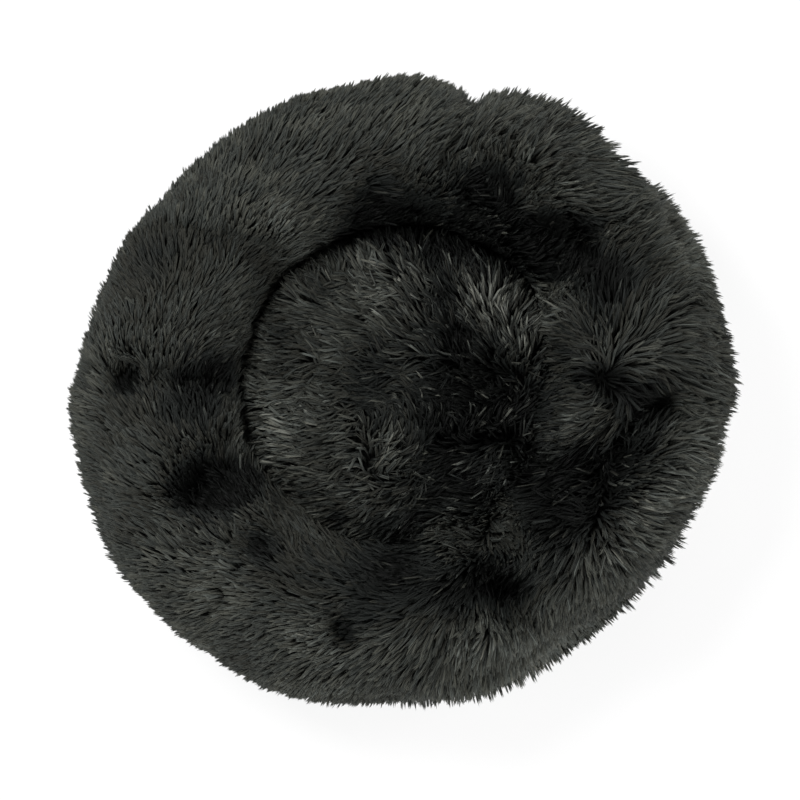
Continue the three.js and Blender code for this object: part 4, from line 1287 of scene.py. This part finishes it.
# Painted shade in the pile's hollows and crevices, and painted light where it is lit: pixel, reach in metres
# and shade.
painted_light_and_shade_pixels = [
    ((490, 205), 0.028, -0.60), ((522, 240), 0.026, -0.50), ((572, 250), 0.022, -0.60),
    ((432, 233), 0.015, -0.55), ((388, 222), 0.018, -0.50), ((345, 240), 0.010, -0.40),
    ((380, 190), 0.022, -0.18), ((212, 488), 0.018, -0.65), ((243, 484), 0.012, -0.50),
    ((606, 462), 0.025, -0.55), ((645, 408), 0.014, -0.55), ((615, 402), 0.012, -0.30),
    ((485, 583), 0.024, -0.55), ((515, 592), 0.015, -0.35), ((440, 590), 0.014, -0.25),
    ((131, 385), 0.0055, -0.90), ((186, 383), 0.005, -0.40), ((262, 548), 0.012, -0.40),
    ((215, 385), 0.020, -0.24), ((195, 415), 0.022, -0.18), ((575, 500), 0.024, -0.50),
    ((494, 400), 0.034, -0.60), ((462, 340), 0.013, -0.45), ((444, 295), 0.011, -0.35),
    ((440, 258), 0.014, -0.24), ((545, 470), 0.018, -0.38), ((480, 500), 0.012, -0.30),
    ((400, 400), 0.060, -0.16), ((440, 430), 0.030, -0.16), ((362, 400), 0.020, -0.10),
    ((320, 455), 0.024, -0.08), ((285, 340), 0.022, -0.14), ((455, 480), 0.028, -0.26),
    ((385, 565), 0.028, -0.26), ((360, 605), 0.016, -0.12), ((345, 630), 0.009, -0.40),
    ((548, 525), 0.020, -0.42), ((600, 288), 0.018, -0.36), ((642, 270), 0.022, -0.16),
    ((575, 365), 0.026, -0.20), ((492, 290), 0.018, 0.22), ((522, 335), 0.012, 0.20),
    ((265, 410), 0.022, 0.14), ((370, 270), 0.022, 0.12), ((395, 440), 0.013, 0.22),
    ((320, 650), 0.030, 0.10), ((500, 655), 0.040, 0.09), ((558, 572), 0.014, -0.18),
    ((725, 450), 0.024, 0.10), ((200, 595), 0.028, 0.08), ((540, 285), 0.010, 0.18),
    ((565, 420), 0.012, 0.10), ((225, 247), 0.007, -0.18), ((250, 256), 0.008, -0.22),
    ((272, 266), 0.008, -0.22), ((268, 302), 0.010, -0.22), ((150, 265), 0.036, -0.08),
    ((332, 288), 0.018, -0.10), ((480, 198), 0.014, -0.30),
    ((540, 252), 0.018, -0.30), ((385, 522), 0.010, -0.20), ((365, 222), 0.013, -0.45),
    ((408, 222), 0.014, -0.45), ((200, 488), 0.010, -0.60), ((224, 485), 0.013, -0.50),
    ((242, 478), 0.011, -0.50), ((184, 498), 0.008, -0.40), ((650, 490), 0.020, 0.22),
    ((695, 490), 0.020, 0.18), ((722, 450), 0.020, 0.12), ((642, 525), 0.018, 0.05),
    ((600, 575), 0.024, 0.12), ((482, 616), 0.010, 0.12), ((325, 655), 0.020, 0.10),
    ((285, 212), 0.020, 0.07), ((292, 246), 0.014, 0.16), ((682, 250), 0.020, 0.14),
    ((402, 572), 0.020, -0.24), ((442, 492), 0.014, -0.22), ((562, 490), 0.016, -0.25),
    ((522, 450), 0.016, -0.25), ((318, 288), 0.012, -0.16), ((560, 610), 0.016, 0.14),
    ((262, 330), 0.016, 0.10), ((410, 532), 0.007, -0.50), ((338, 517), 0.007, -0.40),
    ((583, 382), 0.006, -0.50), ((596, 382), 0.007, -0.55), ((608, 381), 0.006, -0.50),
    ((604, 394), 0.010, -0.45), ((365, 250), 0.012, -0.15), ((470, 250), 0.012, -0.30),
    ((560, 252), 0.016, -0.40), ((600, 290), 0.014, -0.20), ((240, 492), 0.011, -0.30),
    ((290, 500), 0.020, -0.12), ((300, 572), 0.030, -0.14), ((280, 332), 0.012, -0.20),
    ((350, 652), 0.020, -0.10), ((280, 655), 0.020, -0.08), ((358, 372), 0.020, -0.12),
    ((205, 490), 0.010, -0.40), ((560, 172), 0.014, -0.16), ((520, 292), 0.014, -0.14),
    ((640, 610), 0.020, -0.08), ((520, 170), 0.012, 0.16),
    ((432, 500), 0.006, -0.35), ((418, 516), 0.006, -0.35), ((450, 489), 0.006, -0.30),
    ((560, 208), 0.014, 0.30), ((524, 206), 0.011, 0.42), ((598, 254), 0.012, 0.16),
    ((602, 412), 0.014, 0.18), ((485, 612), 0.012, 0.06), ((525, 612), 0.012, 0.10),
    ((150, 295), 0.036, -0.08), ((140, 412), 0.022, -0.11), ((280, 168), 0.020, -0.08),
    ((480, 172), 0.014, 0.14), ((520, 172), 0.010, 0.12), ((640, 615), 0.020, -0.06),
    ((478, 250), 0.012, -0.14), ((440, 492), 0.010, 0.10), ((598, 172), 0.014, -0.04),
    ((180, 410), 0.018, -0.10), ((642, 448), 0.012, -0.14), ((520, 488), 0.010, -0.15),
    ((452, 205), 0.007, 0.22), ((400, 206), 0.008, 0.12), ((362, 252), 0.012, 0.12),
    ((402, 252), 0.012, 0.12), ((475, 250), 0.010, 0.10), ((522, 290), 0.012, 0.18),
    ((556, 292), 0.012, 0.12), ((558, 448), 0.012, 0.12), ((598, 448), 0.012, 0.14),
    ((440, 365), 0.014, -0.14), ((440, 332), 0.014, -0.12), ((562, 334), 0.014, -0.08),
    ((322, 572), 0.018, -0.09), ((360, 582), 0.016, -0.09), ((366, 612), 0.012, -0.09),
    ((402, 612), 0.014, -0.10), ((440, 612), 0.012, -0.07), ((235, 368), 0.012, -0.10),
    ((482, 232), 0.004, 0.30), ((478, 190), 0.012, -0.14), ((525, 255), 0.012, -0.12),
    ((558, 240), 0.013, -0.12), ((470, 222), 0.010, -0.12), ((400, 332), 0.014, -0.08),
    ((642, 490), 0.020, -0.05), ((690, 490), 0.024, -0.12), ((720, 410), 0.016, -0.08),
    ((130, 460), 0.030, -0.06), ((125, 530), 0.024, -0.08),
    ((205, 250), 0.024, -0.08), ((160, 255), 0.020, -0.08), ((600, 320), 0.016, -0.08),
    ((655, 330), 0.020, -0.08), ((670, 372), 0.016, -0.06), ((560, 612), 0.016, -0.10),
    ((217, 368), 0.008, -0.30), ((205, 385), 0.012, -0.10), ((200, 490), 0.008, -0.30),
    ((600, 640), 0.020, -0.10), ((640, 600), 0.016, -0.06), ((170, 610), 0.016, -0.06),
    ((240, 645), 0.016, -0.06), ((205, 172), 0.014, -0.04), ((330, 300), 0.020, 0.05),
    ((320, 340), 0.022, 0.08), ((362, 292), 0.018, 0.06), ((325, 410), 0.022, 0.10),
    ((275, 445), 0.018, 0.12), ((365, 450), 0.020, 0.14), ((400, 455), 0.014, 0.06),
    ((482, 452), 0.014, 0.10), ((440, 490), 0.014, 0.10), ((520, 300), 0.014, 0.10),
    ((525, 332), 0.014, 0.10), ((405, 210), 0.012, 0.10), ((362, 208), 0.010, 0.08),
    ((600, 448), 0.012, 0.12), ((562, 448), 0.012, 0.10), ((520, 372), 0.012, 0.10),
    ((562, 372), 0.014, 0.10), ((482, 532), 0.012, 0.12), ((362, 252), 0.012, 0.10),
    ((240, 290), 0.016, 0.08), ((520, 410), 0.012, -0.10), ((602, 492), 0.010, -0.10),
    ((131, 383), 0.0085, -0.55), ((190, 378), 0.006, -0.25),
    ((640, 650), 0.014, -0.04), ((600, 648), 0.012, -0.04), ((680, 530), 0.016, -0.06),
]
# Where the pile is ruffled, with strands of unlike shades: pixel, reach in metres and share.
ruffle_pixels = [
    ((560, 380), 0.070, 0.52), ((478, 218), 0.034, 0.95), ((592, 472), 0.040, 0.62),
    ((470, 575), 0.034, 0.44), ((228, 492), 0.026, 0.70), ((205, 385), 0.030, 0.60),
    ((350, 620), 0.030, 0.20), ((555, 248), 0.020, 0.50), ((225, 530), 0.020, 0.30),
    ((262, 385), 0.016, 0.30), ((370, 225), 0.022, 0.45), ((350, 560), 0.030, 0.25),
    ((580, 262), 0.018, 0.35), ((620, 382), 0.022, -0.30),
]
# Painted light on the strands low on the outer flank, which lie in shade.
low_flank_painted_light = 0.12
# More painted light on the hem's lower right: its middle and its width in degrees, and how much more painted
# light it takes.
painted_light_middle, painted_light_width, painted_light_gain = 308, 34, 0.7
# Where the pile on the rim's outer side is shorter: degrees round the bed, width in degrees, and share.
pile_trims = [(76.7, 1.6, 0.30), (308, 14, 0.24)]
long_left = -0.09
long_right = 0.13
floor_room = 0.0012
floor_spread = 0.0012
pile_ceiling = 0.2050
ceiling_room = 0.012
slot_low, slot_high = -9.0, 82.5
slot_fade = 8.0
slot_clear_up = 0.0078
slot_clear_down = -0.020
slot_clear_in = -0.004
slot_clear_out = 0.032
# Calm pile has the first number, and fully ruffled pile the second on top of it. Angles are in degrees.
clump_turns = (4, 13)
clump_leans = (3, 6)
clump_bends = (6, 20)
lock_bends = (4, 10)
lock_spreads = (0.0013, -0.0001)
tuft_pulls = (0.09, 0.37)
# Spared locks take less of the painted light and shade: their chance, and the share of it that they take.
spared_chances = (0.03, 0.09)
spared_painted_light_and_shade = (0.55, -0.4)
lock_unlikeness = (0.035, 0.17)
clump_unlikeness = (0.012, 0.075)
strand_unlikeness = (0.025, 0.04)
# What single locks and strands take of the painted light and shade, how they close and stray, and the painted
# highlights on a few lit locks and glinting strands.
painted_light_share = 1.08
most_tip_lift = 18
least_closing, most_closing = 0.06, 0.30
ruffled_closing = 0.50
strand_reaches = (0.90, 1.04)
stray_size = 0.0004
# Painted highlights: the chance of a lit lock or a glinting strand, how deep the painted shade under it may
# be, and how much paler it is made.
painted_lit_lock_chance = 0.02
painted_lit_lock_tone = -0.75
painted_glint_chance = 0.03
painted_glint_tone = -0.30
glow = 0.22
# What the locks do where the pile parts, and how unevenly they lean.
parting_low, parting_high = 0.06, 0.5
parting_turn = 40
parting_lift = 6
parting_fluff = 8
lean_spread = 11


def with_ruffle(values, shags):
    return values[0] + values[1] * shags


def bearings(points):
    """Degrees round the bed, from 0 to 360."""
    return np.degrees(np.arctan2(points[:, 1], points[:, 0])) % 360


def clear_of_zip(curves):
    """Strands over the zip are combed up clear of the slider's and the pull's way."""
    x, y, z = curves[..., 0], curves[..., 1], curves[..., 2]
    radius = np.hypot(x, y)
    angle = np.degrees(np.arctan2(y, x))
    up = (z - zip_height) * math.cos(foot_lean) - (radius - foot_radius) * math.sin(foot_lean)
    out = (z - zip_height) * math.sin(foot_lean) + (radius - foot_radius) * math.cos(foot_lean)
    past_start = smooth_step(angle, slot_low - slot_fade, slot_low)
    past_end = smooth_step(angle, slot_high, slot_high + slot_fade)
    share = past_start * (1 - past_end)
    over = (out > slot_clear_in) & (out < slot_clear_out) & (up < slot_clear_up) & (up > slot_clear_down)
    lift = np.where(over, slot_clear_up - up, 0) * share
    curves[..., 2] += lift * math.cos(foot_lean)
    inward = lift * math.sin(foot_lean) / np.maximum(radius, 0.01)
    curves[..., 0] -= x * inward
    curves[..., 1] -= y * inward
    return curves


def grow(name, node, roots, normals, way_at, twist, flank, lengths, lifts, fluff, shags, clumps, seed):
    """Locks of strands on the roots given, as one piece."""
    draw = np.random.default_rng(seed)
    count = len(roots)
    lift_tips = np.radians(draw.uniform(0, most_tip_lift, count)) + fluff
    bends = clumps[:, clump_bend] * with_ruffle(clump_bends, shags)
    bends = np.radians(bends + draw.normal(0, 1, count) * with_ruffle(lock_bends, shags))
    curves = lock_curves(roots, normals, way_at, twist, bends, flank, lengths, lifts, lift_tips)
    curves = gather_tufts(curves, tuft_size, with_ruffle(tuft_pulls, shags), draw)

    combs = laid(way_at(roots, twist)[0], normals, flank)
    along = unit(np.cross(normals, combs))
    forth = unit(np.cross(along, normals))
    spread = with_ruffle(lock_spreads, shags)[:, None]
    total = count * strands_per_lock
    lock = np.repeat(np.arange(count), strands_per_lock)
    radius = np.sqrt(draw.random(total))
    turn = draw.random(total) * 2 * math.pi
    aside = along[lock] * (radius * np.cos(turn))[:, None]
    ahead = forth[lock] * (radius * np.sin(turn))[:, None]
    offset = (aside + ahead) * spread[lock]
    closing = draw.uniform(least_closing, most_closing, total) + ruffled_closing * shags[lock]
    close = 1 - closing[:, None] * np.array(ring_shares) ** 0.8
    strands = curves[lock] + offset[:, None, :] * close[..., None]
    reach = draw.uniform(*strand_reaches, total)
    strands = strands[:, :1] + (strands - strands[:, :1]) * reach[:, None, None]
    stray = draw.normal(0, stray_size, (total, 3))
    strands += stray[:, None, :] * np.array(ring_shares)[None, :, None] ** 1.5
    strands = clear_of_zip(strands)
    strands[..., 2] = np.maximum(strands[..., 2], floor_room + floor_spread * draw.random((total, 1)))
    strands[..., 2] = eased_under(strands[..., 2], pile_ceiling - ceiling_room, pile_ceiling)

    # Painted shade in the hollows and crevices and painted light where the pile is lit, read at the visible
    # part of each lock. Spared locks take less of it.
    spared = draw.random(count) < with_ruffle(spared_chances, shags)
    painted_light_taken = np.where(spared, with_ruffle(spared_painted_light_and_shade, shags), painted_light_share)
    painted_light_and_shade = swell_at(curves[:, 1] * 0.4 + curves[:, 2] * 0.6, painted_light_and_shade_pixels) * painted_light_taken
    # Painted light on the strands low on the outer flank, which lie in shade, most on the hem's lower right.
    pale = 1 + painted_light_gain * np.exp(-((bearings(roots) - painted_light_middle) / painted_light_width) ** 2)
    painted_light_and_shade += low_flank_painted_light * pale * flank * (1 - smooth_step(roots[:, 2], 0.05, 0.12))
    unlike = draw.normal(0, 1, count) * with_ruffle(lock_unlikeness, shags)
    unlike += clumps[:, clump_shade] * with_ruffle(clump_unlikeness, shags)
    lock_shade = 0.5 + unlike + 0.05 * wander(roots, seed=77, waves=6, least=0.02, most=0.07)
    shades = lock_shade[lock] + draw.normal(0, 1, total) * with_ruffle(strand_unlikeness, shags[lock])
    # The painted light and shade scale each strand's shade.
    shades *= np.clip(1 + 2 * painted_light_and_shade[lock], 0.03, 1.5)
    # Painted highlights: a few lit locks and glinting strands are made paler, where the painted shade is not
    # too deep.
    shades += ((draw.random(count) < painted_lit_lock_chance * shags) * glow)[lock] * (painted_light_and_shade[lock] > painted_lit_lock_tone)
    painted_glint = (draw.random(total) < painted_glint_chance * shags[lock]) & (painted_light_and_shade[lock] > painted_glint_tone)
    shades = np.clip(np.where(painted_glint, shades + glow, shades), 0, 1)
    widths = strand_width * draw.uniform(0.75, 1.2, total)
    piece = strand_mesh(name, strands, widths, shades, 1 - shags[lock], pile_cloth)
    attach(piece, "bed")
    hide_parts(node)


rim_pieces_a_side = 10
locks_a_piece = 2400
rim_clumps = 2600
rim_length, rim_longer = 0.0200, 0.0160
flank_shortening = 0.45
flank_slope_low, flank_slope_high = 0.15, 0.7
seam_thinning, seam_start = 0.2, 0.86
rim_length_spread = (0.75, 1.12)
rim_lifts = (42, 10)
inner_slope_press = 14
flank_fluff = 30
rim_clump_spots = clump_spots(rim_backing, rim_backing_normal, rim_clumps, seed=41)


def rim_outside(points):
    """How far out on the rim each point lies, from its crest at 0 to its flank at 1."""
    return smooth_step(np.linalg.norm(points[:, :2], axis=-1), core_radius, core_radius + 0.03)


def rim_way(points, twist):
    """Directions in plan of the rim's pile, which hangs outwards low on the flank, and their agreement."""
    plan, order = plan_combs(points, rim_comb_pixels)
    low = (smooth_step(-points[:, 2], -0.115, -0.06) * rim_outside(points))[:, None]
    return unit(turned_by(plan, twist) * (1 - low) + unit(points[:, :2]) * low), order


def rim_pile(name, node, first, last, seed):
    rows = turns_between(first, last)
    draw = np.random.default_rng(seed)
    thin = 1 - seam_thinning * smooth_step(rim_share[:-1], seam_start, 1.0)
    roots, normals = scatter(rim_backing[rows], rim_backing_normal[rows], locks_a_piece, draw, thin[None, :])
    unrest = 1 - rim_way(roots, 0)[1]
    shags = np.clip(swell_at(roots, ruffle_pixels), 0, 1)
    clumps = clumps_at(roots, rim_clump_spots, draw)
    lock_turns = draw.normal(0, 1, len(roots)) * (9 + 3 * shags + parting_turn * unrest)
    twist = 5 * wander(roots, seed=5, waves=8, least=0.025, most=0.09) + lock_turns
    twist += clumps[:, clump_turn] * with_ruffle(clump_turns, shags)
    outside = rim_outside(roots)
    steep = 1 - np.abs(normals[:, 2])
    flank = outside * smooth_step(steep, flank_slope_low, flank_slope_high)
    long = smooth_step(roots[:, 0], long_left, long_right) * (1 - flank_shortening * flank)
    lengths = (rim_length + rim_longer * long) * draw.uniform(*rim_length_spread, len(roots))
    for middle, width, share in pile_trims:
        lengths *= 1 - share * outside * np.exp(-((bearings(roots) - middle) / width) ** 2)
    stand = smooth_step(unrest, parting_low, parting_high)
    lean = clumps[:, clump_lean] * with_ruffle(clump_leans, shags) + draw.normal(0, lean_spread, len(roots))
    pressed = inner_slope_press * (1 - outside) * smooth_step(steep, 0.25, 0.8)
    lifts = np.radians(with_ruffle(rim_lifts, shags) + parting_lift * stand - pressed + lean)
    fluff = np.radians(flank_fluff) * flank + np.radians(parting_fluff) * stand
    grow(
        name, node, roots, normals, rim_way, np.radians(twist), flank, lengths, lifts, fluff, shags, clumps,
        seed + 100,
    )


rim_sides = (
    ("left", seam_degrees[0], seam_degrees[1], 200),
    ("right", seam_degrees[1], seam_degrees[0] + 360, 250),
)
for side, first, last, seed in rim_sides:
    for part in range(rim_pieces_a_side):
        start = first + (last - first) * part / rim_pieces_a_side
        stop = first + (last - first) * (part + 1) / rim_pieces_a_side
        name = f"rim_pile_{side}_{part + 1}"
        rim_pile(name, f"rim_cover_{side}", start % 360, stop % 360, seed + part)

# Seat cover. A domed disc of the same plush, sewn to the rim in a seam that its pile hides, combed to the
# left and up from a parting near its middle.
seat_normal = grid_normals(seat_lie)
seat_normal *= np.sign(seat_normal[..., 2:3])
seat_backing = seat_lie.copy()
seat_backing[..., 2] = np.maximum(seat_lie[..., 2] - seat_pile_depth, seat_low.z + backing_thickness)
seat_under = seat_backing.copy()
seat_under[..., 2] -= backing_thickness - 0.0001
seat_loops = np.concatenate([seat_backing, seat_under[:, ::-1]], axis=1).transpose(1, 0, 2)
seat_cloth = loft("seat_cloth", seat_loops, "fan", pile_backing)
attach(seat_cloth, "bed")
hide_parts("seat_cover")

seat_comb_pixels = [
    (260, 400, 180), (255, 370, 173), (262, 445, 182), (300, 460, 181), (300, 385, 179), (300, 345, 168),
    (300, 305, 158), (285, 330, 160), (315, 285, 148), (340, 420, 192), (340, 380, 178), (340, 342, 167),
    (340, 302, 159), (320, 400, 182), (335, 460, 190), (320, 495, 180), (290, 480, 172), (342, 500, 190),
    (342, 262, 136), (365, 250, 128), (382, 262, 132), (380, 300, 167), (400, 250, 105), (420, 258, 62),
    (420, 300, 133), (400, 285, 145), (458, 258, 105), (460, 300, 110), (472, 275, 110), (382, 342, 158),
    (420, 342, 149), (380, 378, 215), (400, 372, 212), (420, 378, 205), (352, 400, 186), (350, 450, 190),
    (375, 428, 66), (385, 450, 56), (382, 466, 50), (398, 438, 54), (408, 455, 41), (396, 470, 40),
    (358, 482, 200), (375, 502, 211), (402, 505, 215), (430, 492, 220), (455, 470, 222), (424, 412, 116),
    (460, 420, 108), (450, 383, 230), (500, 380, 180), (500, 420, 46), (500, 300, 94), (488, 310, 104),
    (500, 340, 118), (478, 340, 118), (515, 320, 98), (528, 345, 66), (542, 370, 34), (455, 340, 116),
    (435, 345, 136), (495, 455, 230), (480, 485, 221), (520, 470, 202), (525, 420, 20),
    (462, 457, 222), (458, 503, 152), (476, 512, 150), (438, 517, 172), (300, 492, 148), (425, 432, 112),
    (445, 405, 114), (470, 395, 160), (425, 395, 160), (432, 458, 212), (415, 485, 214), (395, 490, 212),
]
seat_pieces = 4
seat_clumps = 420
seat_ruffle = (0.35, 0.6)
seat_ruffle_left, seat_ruffle_right = -0.06, 0.05
seat_clump_turn = 15
seat_clump_lean = 8
seat_lengths = (0.0240, 0.006)
seat_length_spread = (0.75, 1.15)
seat_edge_spread = (-0.2, 0.5)
seat_lifts = (46, 8)
seat_clump_spots = clump_spots(seat_backing, seat_normal, seat_clumps, seed=42)


def seat_way(points, twist):
    plan, order = plan_combs(points, seat_comb_pixels)
    return turned_by(plan, twist), order


def seat_pile(part):
    start = part * seat_turns // seat_pieces
    stop = (part + 1) * seat_turns // seat_pieces
    rows = np.arange(start, stop + 1) % seat_turns
    draw = np.random.default_rng(400 + part)
    roots, normals = scatter(seat_backing[rows], seat_normal[rows], locks_a_piece, draw)
    unrest = 1 - seat_way(roots, 0)[1]
    clumps = clumps_at(roots, seat_clump_spots, draw)
    twist = 4 * wander(roots, seed=6, waves=8, least=0.02, most=0.07)
    twist += draw.normal(0, 1, len(roots)) * (15 + parting_turn * unrest)
    twist += clumps[:, clump_turn] * seat_clump_turn
    shags = with_ruffle(seat_ruffle, smooth_step(roots[:, 0], seat_ruffle_left, seat_ruffle_right))
    edge = smooth_step(np.linalg.norm(roots[:, :2], axis=-1), seat_radius - 0.016, seat_radius - 0.004)
    lengths = with_ruffle(seat_lengths, shags) * draw.uniform(*seat_length_spread, len(roots))
    lengths *= 1 + edge * draw.uniform(*seat_edge_spread, len(roots))
    stand = smooth_step(unrest, parting_low, parting_high)
    lean = clumps[:, clump_lean] * seat_clump_lean + draw.normal(0, lean_spread, len(roots))
    lifts = np.radians(with_ruffle(seat_lifts, shags) + parting_lift * stand + lean)
    fluff = np.radians(parting_fluff) * stand
    name = f"seat_pile_{part + 1}"
    flat = np.zeros(len(roots))
    grow(
        name, "seat_cover", roots, normals, seat_way, np.radians(twist), flat, lengths, lifts, fluff, shags,
        clumps, 500 + part,
    )


for part in range(seat_pieces):
    seat_pile(part)
